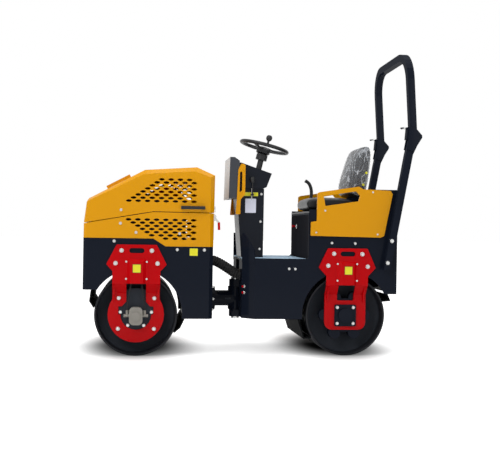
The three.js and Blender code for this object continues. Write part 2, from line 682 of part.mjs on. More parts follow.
function cylinderAnchor() {
  const lugs = [[jointRise - 30, jointRise - 17], [jointRise + 17, jointRise + 30]].map((z) =>
    block([cylinderFoot[0] - 16, cylinderFoot[0] + 26], [100, 160], z));
  const pin = round('z', 10.5, [jointRise - 32, jointRise + 32], cylinderFoot, 16);
  const backX = -Math.sqrt(archRadius ** 2 - skirtFoot ** 2) - 24 - touch;
  const web = block([cylinderFoot[0] + 25, backX], [100, 160], [jointRise - 30, jointRise + 30]);
  return join([...lugs, pin, web]);
}

// ---- the wrapped bundle of hydraulic hoses that loops over the joint, in the half ahead of the bend and the
// half behind it
const bundleRadius = 36;
const bundleY = -122;
const bundleBend = rearPin - 92;

const bundleStart = rearPin - frontPin + frontRear + touch;
const bundleEnd = frontPlateX - touch;

function hoseBundle([from, to]) {
  const whole = hose([
    [bundleStart - 24, bundleY, 366], [bundleStart + 24, bundleY, 364],
    [bundleBend - 28, bundleY - 8, 342], [bundleBend + 30, bundleY - 16, 306],
    [bundleEnd - 24, bundleY - 24, 274], [bundleEnd + 24, bundleY - 24, 268],
  ], bundleRadius, { sides: 12, steps: 12 });
  return whole.intersect(block([from, to], [-300, 0], [100, 500]));
}

rear.add(named('rear_frame', rearFrame(), navyPaint));
rear.add(named('hose_bundle_front', hoseBundle([bundleStart, bundleBend]), blackRubber));
rear.add(named('hose_bundle_rear', hoseBundle([bundleBend + touch, bundleEnd]), blackRubber));
rear.add(named('steering_pin', steeringPin(), zinc));
rear.add(named('centre_yoke', yoke(), navyPaint));
rear.add(named('steering_cylinder_barrel', cylinderBarrel(), blackPlastic));
rear.add(named('steering_cylinder_rod', cylinderRod(), zinc));
rear.add(named('steering_cylinder_anchor', cylinderAnchor(), navyPaint));

// ---- floor
const floorHalf = frameHalf - plate - touch;
const floorShape = outline([
  [frontPlateX, frontCorner - frameHalf], [frontPlateX + frontCorner - plate - touch, -floorHalf],
  [sillX - 16, -floorHalf], [sillX - 16, floorHalf],
  [frontPlateX + frontCorner - plate - touch, floorHalf], [frontPlateX, frameHalf - frontCorner],
]);
rear.add(named('floor_plate', upZ(floorShape, [deckLow + touch, floorRise]), floorPaint));

// ---- drum end of the rear section
rear.add(named('rear_drum', drum(), drumSteel));
for (const [label, way] of sides) {
  rear.add(named(`rear_bracket_${label}`, rearBracket(way), redPaint));
  rear.add(named(`rear_bearing_${label}`, rearBearing(way), navyPaint));
  rear.add(named(`rear_cap_${label}`, rearCap(way), navyPaint));
}
rear.add(named('rear_scraper_ahead', scraper([-330, skirtFoot - touch - 5], -Math.PI * 0.815, -Math.PI * 0.98), blackRubber));
rear.add(named('rear_scraper_behind', scraper([300, rearFoot - touch - 5], Math.PI * 0.115, Math.PI * 0.03), blackRubber));

// ---- yellow side panels with a hand hole under the armrest
const panelWall = 12;
const panelInner = frameHalf + touch;

function sidePanel(way) {
  const edge = outline([
    [-218, 847, 12], [-198, 855, 8], [75, 898, 12], [105, 880, 8], [299, 874, 12], [316, 850, 12],
    [258, 556, 14], [231, 546, 8], [-261, 552, 6], [-259, 647, 4], [-219, 654],
  ]);
  const hole = outline([[-173, 827, 4], [55, 865, 6], [83, 834], [73, 796, 6], [-161, 759, 4]]);
  const span = [way * panelInner, way * (panelInner + panelWall)];
  return acrossY(edge, span).subtract(acrossY(hole, [way * (panelInner - 5), way * (panelInner + panelWall + 5)]));
}
for (const [label, way] of sides) rear.add(named(`side_panel_${label}`, sidePanel(way), yellowPaint));

// ---- seat box, seat and drive lever
const boxTop = 722;
const seatHalf = seatWidth / 2;
const boxInner = frameHalf - plate - touch;

const seatBoxFront = block([sillX - 2, sillX + 2], [-boxInner, boxInner], [floorRise + touch, boxTop - 12]);
rear.add(named('seat_box_front', seatBoxFront, galvanised));
rear.add(named('seat_box_top',
  block([sillX - 4, rearOverhang - plate - touch], [-boxInner, boxInner], [boxTop - 12 + touch, boxTop]), navyPaint));

const cushionShape = outline([
  [-238, boxTop + touch, 10], [70, boxTop + touch, 10], [84, 800, 20], [60, 822, 24],
  [-190, 830, 30], [-252, 826, 36], [-256, 744, 24],
]);
rear.add(named('seat_cushion', acrossY(cushionShape, [-seatHalf, seatHalf]), seatVinyl));
const backShape = outline([
  [6, 862, 20], [60, 836, 20], [186, 836, 24], [208, 880, 30], [234, 1130, 40], [220, 1198, 44],
  [130, 1198, 44], [50, 1000, 60],
]);
rear.add(named('seat_back', acrossY(backShape, [-seatHalf, seatHalf]), seatVinyl));

const leverY = 290;
const leverBar = hose([
  [-150, leverY, boxTop + 4], [-140, leverY, 800], [-132, leverY, 860], [-136, leverY, 910],
  [-156, leverY, 952], [-182, leverY, 968],
], 13, { sides: 12, steps: 14 });
rear.add(named('drive_lever',
  join([leverBar, block([-180, -120], [leverY - 26, leverY + 26], [boxTop + touch, boxTop + 14])]), blackPlastic));

// ---- console: a folded column, a guard over its front, and the sloping dash box
const consoleHalf = consoleWidth / 2;
const fromPin = (x) => rearPin + x;

const columnShape = outline([
  [fromPin(22), floorRise + touch], [fromPin(178), floorRise + touch], [fromPin(180), 880], [fromPin(-16), 880],
]);
rear.add(named('console_column', acrossY(columnShape, [-consoleHalf, consoleHalf]), navyPaint));

const dashSlope = -0.336;
const dashRise = (x) => 1062 + (x - 12) * dashSlope;
const dashShape = outline([
  [fromPin(-16), 880 + touch], [fromPin(172), 880 + touch], [fromPin(196), 891], [fromPin(232), dashRise(232)],
  [fromPin(12), dashRise(12)], [fromPin(-16), dashRise(12)],
]);
const dashHalf = consoleHalf + 14;
rear.add(named('dash_box', acrossY(dashShape, [-dashHalf, dashHalf]), navyPaint));

const guardHalf = 200;
function consoleGuard() {
  const face = acrossY(outline([
    [fromPin(-70), 1097], [fromPin(-77), 803], [fromPin(-71), 803], [fromPin(-64), 1097],
  ]), [-guardHalf, guardHalf]);
  const cheekShape = outline([
    [fromPin(-66), 1097], [fromPin(-38), 1097, 6], [fromPin(-2), 1072], [fromPin(-2), 812], [fromPin(-73), 805],
  ]);
  const cheeks = sides.map(([, way]) => acrossY(cheekShape, [way * guardHalf, way * (guardHalf - 4)]));
  const ledges = [[812, 818], [1040, 1046]].map((z) =>
    block([fromPin(-71), fromPin(-16 - touch)], [1 - guardHalf, guardHalf - 1], z));
  return join([face, ...cheeks, ...ledges]);
}
rear.add(named('console_guard', consoleGuard(), palePaint));

// ---- grab rails: flat bars with a long slot, one on each side of the console
const railInner = guardHalf + touch;
function grabRail(way) {
  const span = [way * railInner, way * (railInner + 8)];
  const bar = outline([
    [fromPin(-28), 694, 6], [fromPin(4), 694, 6], [fromPin(8), 800], [fromPin(38), 836], [fromPin(38), 1044, 12],
    [fromPin(10), 1054, 12], [fromPin(-12), 1010], [fromPin(-20), 800],
  ]);
  const slot = outline([
    [fromPin(-2), 846, 4], [fromPin(16), 862, 4], [fromPin(16), 1010, 8], [fromPin(0), 990, 8],
  ]);
  const rail = acrossY(bar, span).subtract(acrossY(slot, [way * (railInner - 4), way * (railInner + 12)]));
  const foot = block([fromPin(-20), fromPin(8)], [way * (consoleHalf + touch), way * (railInner + 1)], [700, 724]);
  return rail.add(foot);
}
for (const [label, way] of sides) rear.add(named(`grab_rail_${label}`, grabRail(way), yellowPaint));

// ---- steering column and wheel, on a leaning axis
const wheelRadius = steeringWheelDiameter / 2;
const rimRadius = 14;
const steering = new THREE.Group();
const columnLean = THREE.MathUtils.degToRad(13.7);
steering.position.set(fromPin(196), 0, 1190);
steering.rotation.y = columnLean;

function steeringColumn() {
  const leaning = (radius, low, high) => solidOf(new THREE.CylinderGeometry(radius, radius, high - low, 28)
    .rotateX(Math.PI / 2).translate(0, 0, (low + high) / 2)
    .rotateY(columnLean).translate(steering.position.x, 0, steering.position.z));
  const belowDash = outline([
    [fromPin(-100), 600], [fromPin(300), 600], [fromPin(300), dashRise(300) + touch], [fromPin(-100), dashRise(-100) + touch],
  ]);
  return join([leaning(21, -230, -96), leaning(41, -98, -58)])
    .subtract(acrossY(belowDash, [-consoleHalf, consoleHalf]));
}
rear.add(named('steering_column', steeringColumn(), blackPlastic));

function steeringWheel() {
  const rim = solidOf(new THREE.TorusGeometry(wheelRadius - rimRadius, rimRadius, 6, 30));
  const hubProfile = [[0, -54], [36, -54], [44, -40], [40, -10], [24, 2], [0, 2]].map(([r, z]) => new THREE.Vector2(r, z));
  const hub = solidOf(new THREE.LatheGeometry(hubProfile, 32).rotateX(Math.PI / 2));
  const spokes = [0, 1, 2].map((i) => {
    const angle = (i * 2 * Math.PI) / 3;
    const reach = wheelRadius - rimRadius;
    const spoke = new THREE.BoxGeometry(reach - 10, 26, 10).translate(reach / 2 + 5, 0, -6);
    return solidOf(spoke.rotateZ(angle));
  });
  const knobAt = [0, rimRadius - wheelRadius];
  const knob = join([
    round('z', 8, [0, 42], knobAt, 16),
    solidOf(new THREE.SphereGeometry(22, 12, 8).translate(knobAt[0], knobAt[1], 50)),
  ]);
  return join([rim, hub, ...spokes, knob]);
}
steering.add(named('steering_wheel', steeringWheel(), blackPlastic));
rear.add(steering);

// ---- throttle lever beside the dash
const throttleY = -(dashHalf + 24);
rear.add(named('throttle_lever', join([
  round('z', 4, [836, 925], [fromPin(92), throttleY], 16),
  round('z', 14, [920, 960], [fromPin(92), throttleY], 24),
  block([fromPin(82), fromPin(102)], [throttleY - 8, -(consoleHalf + touch)], [828, 842]),
]), blackPlastic));

// ---- roll bar: sloping posts bolted to the rear frame's sides, and a hoop that folds back over them
const hingePlate = 8;
const barInner = frameHalf + rollBarGap;
const barOuter = barInner + rollBarTube;
const rollBarWidth = 2 * (barOuter + hingePlate);
const hinge = [rollBarReach - 14, 1250];              // fold bolt, from the rear axle
const hoopFoot = hinge[1] - 6;
const boltRadius = 8;

function rollBarPost(way) {
  const span = [way * (barOuter - weld), way * (barInner + weld)];
  const post = acrossY(outline([
    [246, 322], [295, 334], [439, 1120], [462, hoopFoot - running], [412, hoopFoot - running], [386, 1120],
  ]), span);
  const knuckle = acrossY(band([[430, 1130], hinge], 22), span).add(round('y', 13, span, hinge, 24));
  const bolt = round('y', boltRadius, [way * (barOuter + hingePlate), way * (barInner - hingePlate)], hinge, 20);
  const pad = acrossY(outline([[250, 330], [296, 340], [334, 538], [288, 538]]),
    [way * (barInner + 2 * weld), way * (frameHalf + touch)]);
  return join([post, knuckle, bolt, pad]);
}

function rollBarHoop() {
  const bend = 150;
  const hoopOutline = (half, rise, radius) => outline([
    [-half, hoopFoot - 100], [-half, rise, radius], [half, rise, radius], [half, hoopFoot - 100],
  ]);
  const whole = alongX(hoopOutline(barOuter, rollBarRise, bend + rollBarTube), [350, 500], 4);
  const middle = alongX(hoopOutline(barInner, rollBarRise - rollBarTube, bend), [340, 510], 4);
  const lean = outline([
    [419, hoopFoot], [419 + rollBarTube, hoopFoot], [381 + rollBarTube, rollBarRise + 1], [381, rollBarRise + 1],
  ]);
  const hoop = whole.subtract(middle).intersect(acrossY(lean, [-rollBarWidth, rollBarWidth]));
  const plateShape = outline([
    [409, 1320], [465, 1298], [rollBarReach, hinge[1] + 8], [rollBarReach, hinge[1] - 8], [440, 1144], [389, 1160], [401, 1227],
  ]);
  const fittings = sides.flatMap(([, way]) => {
    const strapSpan = [way * (barOuter - weld), way * (barInner + weld)];
    const ring = new THREE.TorusGeometry(22, 4, 5, 14).translate(378, way * (barOuter - 25), 1308);
    return [
      acrossY(plateShape, [way * (barOuter - weld / 2), way * (barOuter + hingePlate)]),
      acrossY(plateShape, [way * (barInner + weld / 2), way * (barInner - hingePlate)]),
      acrossY(outline([[397, 1310], [425, 1310], [425, hoopFoot], [402, hoopFoot], [396, 1228], [390, 1228]]), strapSpan),
      solidOf(ring),
    ];
  });
  const boltHoles = sides.map(([, way]) =>
    round('y', boltRadius + touch, [way * (barOuter + 20), way * (barInner - 20)], hinge, 20));
  return boltHoles.reduce((left, hole) => left.subtract(hole), join([hoop, ...fittings]));
}

for (const [label, way] of sides) rear.add(named(`roll_bar_post_${label}`, rollBarPost(way), navyPaint));
rear.add(named('roll_bar_hoop', rollBarHoop(), navyPaint));

// ---------------------------------------------------------------- the machine
const roller = new THREE.Group();
roller.name = 'road_roller';
roller.add(front, rear);

export default roller;
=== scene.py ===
import json

import bmesh
import bpy
import numpy as np
from mathutils import Matrix, Vector


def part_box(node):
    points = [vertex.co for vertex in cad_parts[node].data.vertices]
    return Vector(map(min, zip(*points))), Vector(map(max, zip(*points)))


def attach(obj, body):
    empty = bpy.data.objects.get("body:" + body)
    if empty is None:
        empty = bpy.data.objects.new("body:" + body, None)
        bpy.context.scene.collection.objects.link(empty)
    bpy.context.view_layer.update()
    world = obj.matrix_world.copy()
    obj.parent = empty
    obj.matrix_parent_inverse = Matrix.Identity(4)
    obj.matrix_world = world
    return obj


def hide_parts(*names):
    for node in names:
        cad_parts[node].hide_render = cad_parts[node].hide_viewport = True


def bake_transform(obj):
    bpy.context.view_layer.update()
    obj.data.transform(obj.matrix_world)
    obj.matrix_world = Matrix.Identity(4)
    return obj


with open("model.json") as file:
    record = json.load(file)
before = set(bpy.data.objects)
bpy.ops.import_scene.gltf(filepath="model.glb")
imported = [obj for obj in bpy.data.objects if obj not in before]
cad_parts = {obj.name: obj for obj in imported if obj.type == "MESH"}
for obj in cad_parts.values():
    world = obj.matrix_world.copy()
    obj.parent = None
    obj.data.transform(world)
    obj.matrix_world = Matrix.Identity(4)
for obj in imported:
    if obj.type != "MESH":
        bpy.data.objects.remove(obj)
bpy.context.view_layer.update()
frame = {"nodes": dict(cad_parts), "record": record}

# ---------------------------------------------------------------- camera, lamps and room
# The camera stands level with the console, well back, and looks across the machine's left side. A wide soft
# lamp hangs above and ahead, one hangs above, and one fills the side. The room is white where it is seen or
# mirrored. As a light it is bright above and beside the machine, and dim on the near side.
scene = bpy.context.scene
scene.view_settings.view_transform = "Standard"
camera_data = bpy.data.cameras.new("camera")
camera = bpy.data.objects.new("camera", camera_data)
scene.collection.objects.link(camera)
camera.location = (-0.7411, -6.395, 0.8726)
camera.rotation_mode = "QUATERNION"
CAMERA_YAW, CAMERA_TILT, CAMERA_ROLL = np.radians((-7.054, 89.935, 0.90))
aim = (Matrix.Rotation(CAMERA_YAW, 4, "Z") @ Matrix.Rotation(CAMERA_TILT, 4, "X")
       @ Matrix.Rotation(CAMERA_ROLL, 4, "Z"))
camera.rotation_quaternion = aim.to_quaternion()
camera_data.sensor_width = 36
camera_data.lens = 63.7164
camera_data.shift_x = -0.0095
camera_data.shift_y = 0.0100
camera_data.clip_end = 100
scene.camera = camera


def area_lamp(name, place, target, size, watts):
    """A soft rectangular lamp at a place, turned to face its target."""
    data = bpy.data.lights.new(name, "AREA")
    data.shape = "RECTANGLE"
    data.size, data.size_y = size
    data.energy = watts
    light = bpy.data.objects.new(name, data)
    scene.collection.objects.link(light)
    light.location = place
    light.rotation_euler = (Vector(place) - Vector(target)).to_track_quat("Z", "Y").to_euler()


area_lamp("key", (-3.2, -4.2, 4.4), (-0.2, 0, 0.7), (3.2, 3.2), 142)
area_lamp("top", (0.4, -0.6, 5.0), (0, 0, 0.5), (5.0, 4.0), 94)
area_lamp("side", (3.5, -5.0, 2.0), (0.3, 0, 0.7), (2.0, 3.0), 26)

NEAR_LIGHT, FAR_LIGHT = 0.10, 0.80        # strength of the room's light behind the camera, and on the far side
world = bpy.data.worlds.new("white_room")
scene.world = world
world.use_nodes = True
room = world.node_tree
direction = room.nodes.new("ShaderNodeTexCoord")
split = room.nodes.new("ShaderNodeSeparateXYZ")
around_room = room.nodes.new("ShaderNodeMapRange")
around_room.inputs["From Min"].default_value = -0.85
around_room.inputs["From Max"].default_value = -0.05
around_room.inputs["To Min"].default_value = NEAR_LIGHT
around_room.inputs["To Max"].default_value = FAR_LIGHT


def background_rays(tree):
    """1 for a ray from the camera, or one that a shiny or clear surface sent on; 0 for one that lights the object."""
    path = tree.nodes.new("ShaderNodeLightPath")
    found = path.outputs["Is Camera Ray"]
    for kind in ("Is Glossy Ray", "Is Transmission Ray"):
        either = tree.nodes.new("ShaderNodeMath")
        either.operation = "MAXIMUM"
        tree.links.new(found, either.inputs[0])
        tree.links.new(path.outputs[kind], either.inputs[1])
        found = either.outputs["Value"]
    return found


strength = room.nodes.new("ShaderNodeMix")
strength.inputs["B"].default_value = 1.0
room.links.new(direction.outputs["Generated"], split.inputs["Vector"])
room.links.new(split.outputs["Y"], around_room.inputs["Value"])
room.links.new(around_room.outputs["Result"], strength.inputs["A"])
room.links.new(background_rays(room), strength.inputs["Factor"])
room.links.new(strength.outputs["Result"], room.nodes["Background"].inputs["Strength"])
room.nodes["Background"].inputs["Color"].default_value = (1, 1, 1, 1)

# ---------------------------------------------------------------- floor
# A wide pale floor, nearly white, of painted board. A painted shadow darkens it in a soft oval under each drum,
# and it glows a little where it is seen outside the ovals, so that it runs into the white of the room.
def finish(name, colour, rough, metal=0.0, coat=0.0, mottle=(3.0, 0.06), grain=(400.0, 0.03), stretch=(1, 1, 1),
           specular=0.5):
    """A material whose colour and gloss vary slowly, and whose surface varies finely, with noise in object space.
    mottle and grain are each (noise scale, amount)."""
    material = bpy.data.materials.new(name)
    material.use_nodes = True
    tree = material.node_tree
    shader = tree.nodes["Principled BSDF"]
    shader.inputs["Metallic"].default_value = metal
    shader.inputs["Specular IOR Level"].default_value = specular
    shader.inputs["Coat Weight"].default_value = coat
    shader.inputs["Coat Roughness"].default_value = 0.06
    place = tree.nodes.new("ShaderNodeTexCoord")
    scaled = tree.nodes.new("ShaderNodeMapping")
    scaled.inputs["Scale"].default_value = stretch
    tree.links.new(place.outputs["Object"], scaled.inputs["Vector"])

    slow = tree.nodes.new("ShaderNodeTexNoise")
    slow.inputs["Scale"].default_value = mottle[0]
    slow.inputs["Detail"].default_value = 5
    tree.links.new(scaled.outputs["Vector"], slow.inputs["Vector"])
    tint = tree.nodes.new("ShaderNodeMixRGB")
    tint.inputs["Color1"].default_value = tuple(c * (1 - mottle[1]) for c in colour[:3]) + (1,)
    tint.inputs["Color2"].default_value = tuple(min(1, c * (1 + mottle[1])) for c in colour[:3]) + (1,)
    tree.links.new(slow.outputs["Fac"], tint.inputs["Fac"])
    tree.links.new(tint.outputs["Color"], shader.inputs["Base Color"])

    gloss = tree.nodes.new("ShaderNodeMapRange")
    gloss.inputs["To Min"].default_value = rough * 0.8
    gloss.inputs["To Max"].default_value = min(1.0, rough * 1.25)
    tree.links.new(slow.outputs["Fac"], gloss.inputs["Value"])
    tree.links.new(gloss.outputs["Result"], shader.inputs["Roughness"])

    fine = tree.nodes.new("ShaderNodeTexNoise")
    fine.inputs["Scale"].default_value = grain[0]
    fine.inputs["Detail"].default_value = 3
    tree.links.new(scaled.outputs["Vector"], fine.inputs["Vector"])
    bump = tree.nodes.new("ShaderNodeBump")
    bump.inputs["Strength"].default_value = grain[1]
    bump.inputs["Distance"].default_value = 0.001
    tree.links.new(fine.outputs["Fac"], bump.inputs["Height"])
    tree.links.new(bump.outputs["Normal"], shader.inputs["Normal"])
    return material


def middle(node):
    """The middle of a node's box."""
    return np.mean(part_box(node), axis=0)


FRONT_X = middle("front_drum")[0]
REAR_X = middle("rear_drum")[0]
# The dark ovals are a painted shadow, and these numbers set their size.
PAINTED_SHADOW_LONG, PAINTED_SHADOW_WIDE = 0.56, 1.2        # half axes of the dark oval
PAINTED_SHADOW_CORE = 0.22                         # share of the oval that is fully dark, and its shift to the near side
FLOOR_GLOW = 0.62
FLOOR_WHITE = finish("studio_floor", (0.93, 0.93, 0.93, 1), 0.9, mottle=(1.0, 0.005), grain=(10, 0.0), specular=0.0)
floor_tree = FLOOR_WHITE.node_tree
floor_shader = floor_tree.nodes["Principled BSDF"]
floor_shader.inputs["Emission Color"].default_value = (1, 1, 1, 1)
floor_place = floor_tree.nodes.new("ShaderNodeTexCoord")
outside_painted_shadow = None
for drum_x in (FRONT_X, REAR_X):
    oval = floor_tree.nodes.new("ShaderNodeMapping")
    oval.inputs["Location"].default_value = (-drum_x / PAINTED_SHADOW_LONG, -PAINTED_SHADOW_CORE, 0)
    oval.inputs["Scale"].default_value = (1 / PAINTED_SHADOW_LONG, 1 / PAINTED_SHADOW_WIDE, 0)
    reach = floor_tree.nodes.new("ShaderNodeVectorMath")
    reach.operation = "LENGTH"
    clear = floor_tree.nodes.new("ShaderNodeMapRange")
    clear.interpolation_type = "SMOOTHERSTEP"
    clear.inputs["From Min"].default_value = PAINTED_SHADOW_CORE
    floor_tree.links.new(floor_place.outputs["Object"], oval.inputs["Vector"])
    floor_tree.links.new(oval.outputs["Vector"], reach.inputs[0])
    floor_tree.links.new(reach.outputs["Value"], clear.inputs["Value"])
    if outside_painted_shadow is None:
        outside_painted_shadow = clear.outputs["Result"]
    else:
        both = floor_tree.nodes.new("ShaderNodeMath")
        both.operation = "MULTIPLY"
        floor_tree.links.new(outside_painted_shadow, both.inputs[0])
        floor_tree.links.new(clear.outputs["Result"], both.inputs[1])
        outside_painted_shadow = both.outputs["Value"]
glow = floor_tree.nodes.new("ShaderNodeMath")
glow.operation = "MULTIPLY"
glow.inputs[1].default_value = FLOOR_GLOW
# The painted shadow: inside each oval the floor's colour turns near black and its glow fades out.
painted_shadow_mix = floor_tree.nodes.new("ShaderNodeMixRGB")
painted_shadow_mix.inputs["Color1"].default_value = (0.03, 0.03, 0.03, 1)
floor_tree.links.new(floor_shader.inputs["Base Color"].links[0].from_socket, painted_shadow_mix.inputs["Color2"])
floor_tree.links.new(outside_painted_shadow, painted_shadow_mix.inputs["Fac"])
floor_tree.links.new(painted_shadow_mix.outputs["Color"], floor_shader.inputs["Base Color"])
floor_tree.links.new(outside_painted_shadow, glow.inputs[0])
seen_glow = floor_tree.nodes.new("ShaderNodeMath")
seen_glow.operation = "MULTIPLY"
floor_tree.links.new(glow.outputs["Value"], seen_glow.inputs[0])
floor_tree.links.new(background_rays(floor_tree), seen_glow.inputs[1])
floor_tree.links.new(seen_glow.outputs["Value"], floor_shader.inputs["Emission Strength"])
floor_mesh = bpy.data.meshes.new("studio_floor")
floor_mesh.from_pydata([(-40, -40, 0), (40, -40, 0), (40, 60, 0), (-40, 60, 0)], [], [(0, 1, 2, 3)])
floor_mesh.materials.append(FLOOR_WHITE)
floor = bpy.data.objects.new("studio_floor", floor_mesh)
scene.collection.objects.link(floor)


# ---------------------------------------------------------------- frames and centre joint
# Welded steel plate, painted navy. Folded and cut edges are eased by a narrow bevel. The pin and the steering
# cylinder's rod are plated steel, and its barrel is black.
def linear(*rgb):
    """Linear colour from 0 to 255 display values."""
    return tuple(((c / 255 + 0.055) / 1.055) ** 2.4 if c > 10 else c / 255 / 12.92 for c in rgb) + (1,)


EASED = 0.0022
EDGE_ANGLE = np.radians(32)
ROUND_ANGLE = np.radians(50)


def ease_edges(obj, width=EASED):
    """Softens every edge sharper than the edge angle, and shades the rest smooth."""
    obj.data.set_sharp_from_angle(angle=EDGE_ANGLE)
    bevel = obj.modifiers.new("eased", "BEVEL")
    bevel.width = width
    bevel.segments = 2
    bevel.limit_method = "ANGLE"
    bevel.angle_limit = EDGE_ANGLE
    bevel.harden_normals = True


def dress(material, *nodes, turned_part=False):
    """Gives CAD nodes their finish. A turned part stays smooth, and every other one has its edges eased."""
    for name in nodes:
        node = frame["nodes"][name]
        for material_slot in node.material_slots:
            material_slot.material = material
        node.data.shade_smooth()
        if turned_part:
            node.data.set_sharp_from_angle(angle=ROUND_ANGLE)
        else:
            ease_edges(node)


NAVY = finish("navy_enamel", linear(22, 27, 38), 0.40, coat=0.10, specular=0.0, mottle=(2.0, 0.10), grain=(300, 0.06))
ZINC = finish("zinc_plate", linear(196, 197, 196), 0.28, metal=0.9, mottle=(30.0, 0.12), grain=(500, 0.06))
PLASTIC = finish("black_plastic", linear(20, 21, 24), 0.42, specular=0.35, mottle=(6.0, 0.1), grain=(900, 0.18))
dress(NAVY, "front_frame", "rear_frame", "centre_yoke", "steering_cylinder_anchor", "rear_bearing_left",
      "rear_bearing_right", "rear_cap_left", "rear_cap_right")
dress(ZINC, "steering_cylinder_rod")
dress(ZINC, "steering_pin", turned_part=True)
dress(PLASTIC, "steering_cylinder_barrel")

# ---------------------------------------------------------------- brackets, motors and scrapers
# Red plates carry each drum, with cast motors in the front ones and short rubber hoses up to the deck. The
# bearings show the drum's own dark paint. The scrapers are flat black bars.
RED = finish("red_enamel", linear(188, 2, 10), 0.26, coat=0.10, specular=0.02, mottle=(4.0, 0.05), grain=(240, 0.08))
CAST = finish("bare_casting", linear(134, 131, 124), 0.6, metal=0.35, mottle=(14.0, 0.15), grain=(420, 0.35))
RUBBER = finish("black_rubber", linear(20, 20, 22), 0.62, specular=0.3, mottle=(12.0, 0.15), grain=(600, 0.15))
SCRAPER = finish("scraper_black", linear(15, 16, 18), 0.8, specular=0.06, mottle=(12.0, 0.15), grain=(200, 0.2))
DRUM_END = finish("drum_end_paint", linear(46, 50, 57), 0.6, specular=0.12, mottle=(8.0, 0.2), grain=(160, 0.12))
dress(RED, "front_bracket_left", "front_bracket_right", "rear_bracket_left", "rear_bracket_right")
dress(CAST, "front_drive_motor", "front_vibration_motor")
dress(DRUM_END, "front_bearing_left", "front_bearing_right")
dress(RUBBER, "motor_hose_front", "motor_hose_rear", turned_part=True)
dress(SCRAPER, "front_scraper_ahead", "front_scraper_behind", "rear_scraper_ahead", "rear_scraper_behind")


# ---------------------------------------------------------------- drums
# A rolled steel shell with eased rims, and a dished, painted web set back inside each end. It is one closed
# profile turned about the axle.
def grid_faces(rows, columns, start=0, ring=False):
    """Quads between rows of points, where point j of row i has number start + i * columns + j. Each row joins
    its last point to its first, and in a ring the last row joins the first."""
    i, j = np.mgrid[0:rows if ring else rows - 1, 0:columns]
    above, beside = (i + 1) % rows, (j + 1) % columns
    quads = np.stack([i * columns + j, i * columns + beside, above * columns + beside, above * columns + j], -1)
    return (start + quads).reshape(-1, 4).tolist()


def turned(profile, centre, axes, around=40, ring=False):
    """A profile of (radius, height) turned about an axis: centre + u r cos a + v r sin a + w height, for the
    directions u, v, w in axes. They are right-handed, so that a rising profile faces outwards."""
    radius, height = np.array(profile, float).T[..., None]
    angle = np.linspace(0, 2 * np.pi, around, endpoint=False)
    u, v, w = (np.array(axis, float) for axis in axes)
    points = (np.array(centre, float) + (radius * np.cos(angle))[..., None] * u
              + (radius * np.sin(angle))[..., None] * v + (height + 0 * angle)[..., None] * w)
    return points.reshape(-1, 3), grid_faces(len(profile), around, ring=ring)


def new_piece(name, points, faces, material, body, sharp=40):
    """A mesh piece in the frame that rides on a body. Points that meet, as at a pole, are merged, and it is
    shaded smooth below the sharp angle."""
    mesh = bpy.data.meshes.new(name)
    mesh.from_pydata(np.asarray(points, float).tolist(), [], faces)
    closing = bmesh.new()
    closing.from_mesh(mesh)
    bmesh.ops.remove_doubles(closing, verts=closing.verts, dist=1e-6)
    closing.to_mesh(mesh)
    closing.free()
    mesh.materials.append(material)
    mesh.shade_smooth()
    mesh.set_sharp_from_angle(angle=np.radians(sharp))
    piece = bpy.data.objects.new(name, mesh)
    scene.collection.objects.link(piece)
    if body:
        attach(piece, body)
    return piece


def face_middles(mesh):
    """The middle of every face, as one array."""
    middles = np.empty(3 * len(mesh.polygons))
    mesh.polygons.foreach_get("center", middles)
    return middles.reshape(-1, 3)


AXLE_Z = middle("front_drum")[2]
DRUM_RADIUS = AXLE_Z
DRUM_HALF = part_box("front_drum")[1][1]
SHELL = 0.015
WEB = DRUM_HALF - 0.110                   # from the middle to the web's face
BORE = 0.068
INSIDE = DRUM_RADIUS - SHELL
ABOUT_Y = ((0, 0, 1), (1, 0, 0), (0, 1, 0))
LEFT_END = [(BORE, -WEB), (0.100, -WEB), (0.106, -WEB - 0.004), (0.235, -WEB - 0.004), (0.250, -WEB - 0.010),
            (INSIDE - 0.006, -WEB - 0.012), (INSIDE, -WEB - 0.020), (INSIDE, -DRUM_HALF + 0.004),
            (INSIDE + 0.003, -DRUM_HALF), (DRUM_RADIUS - 0.004, -DRUM_HALF),
            (DRUM_RADIUS - 0.0012, -DRUM_HALF + 0.0012), (DRUM_RADIUS, -DRUM_HALF + 0.004)]
DRUM_PROFILE = LEFT_END + [(radius, -y) for radius, y in reversed(LEFT_END)]
DRUM_STEEL = finish("drum_steel", linear(34, 35, 39), 0.46, metal=0.25, coat=0.06, specular=0.12, mottle=(9.0, 0.25),
                    grain=(90, 0.10))
dress(DRUM_STEEL, "front_drum", "rear_drum")
for name, x in (("front_drum", FRONT_X), ("rear_drum", REAR_X)):
    points, faces = turned(DRUM_PROFILE, (x, 0, AXLE_Z), ABOUT_Y, 160, ring=True)
    drum = new_piece(name + "_shell", points, faces, DRUM_STEEL, name, sharp=50)
    drum.data.materials.append(DRUM_END)
    from_axle = face_middles(drum.data) - (x, 0, AXLE_Z)
    painted = np.hypot(from_axle[:, 0], from_axle[:, 2]) < INSIDE - 0.001
    drum.data.polygons.foreach_set("material_index", painted.astype(int))
    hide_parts(name)

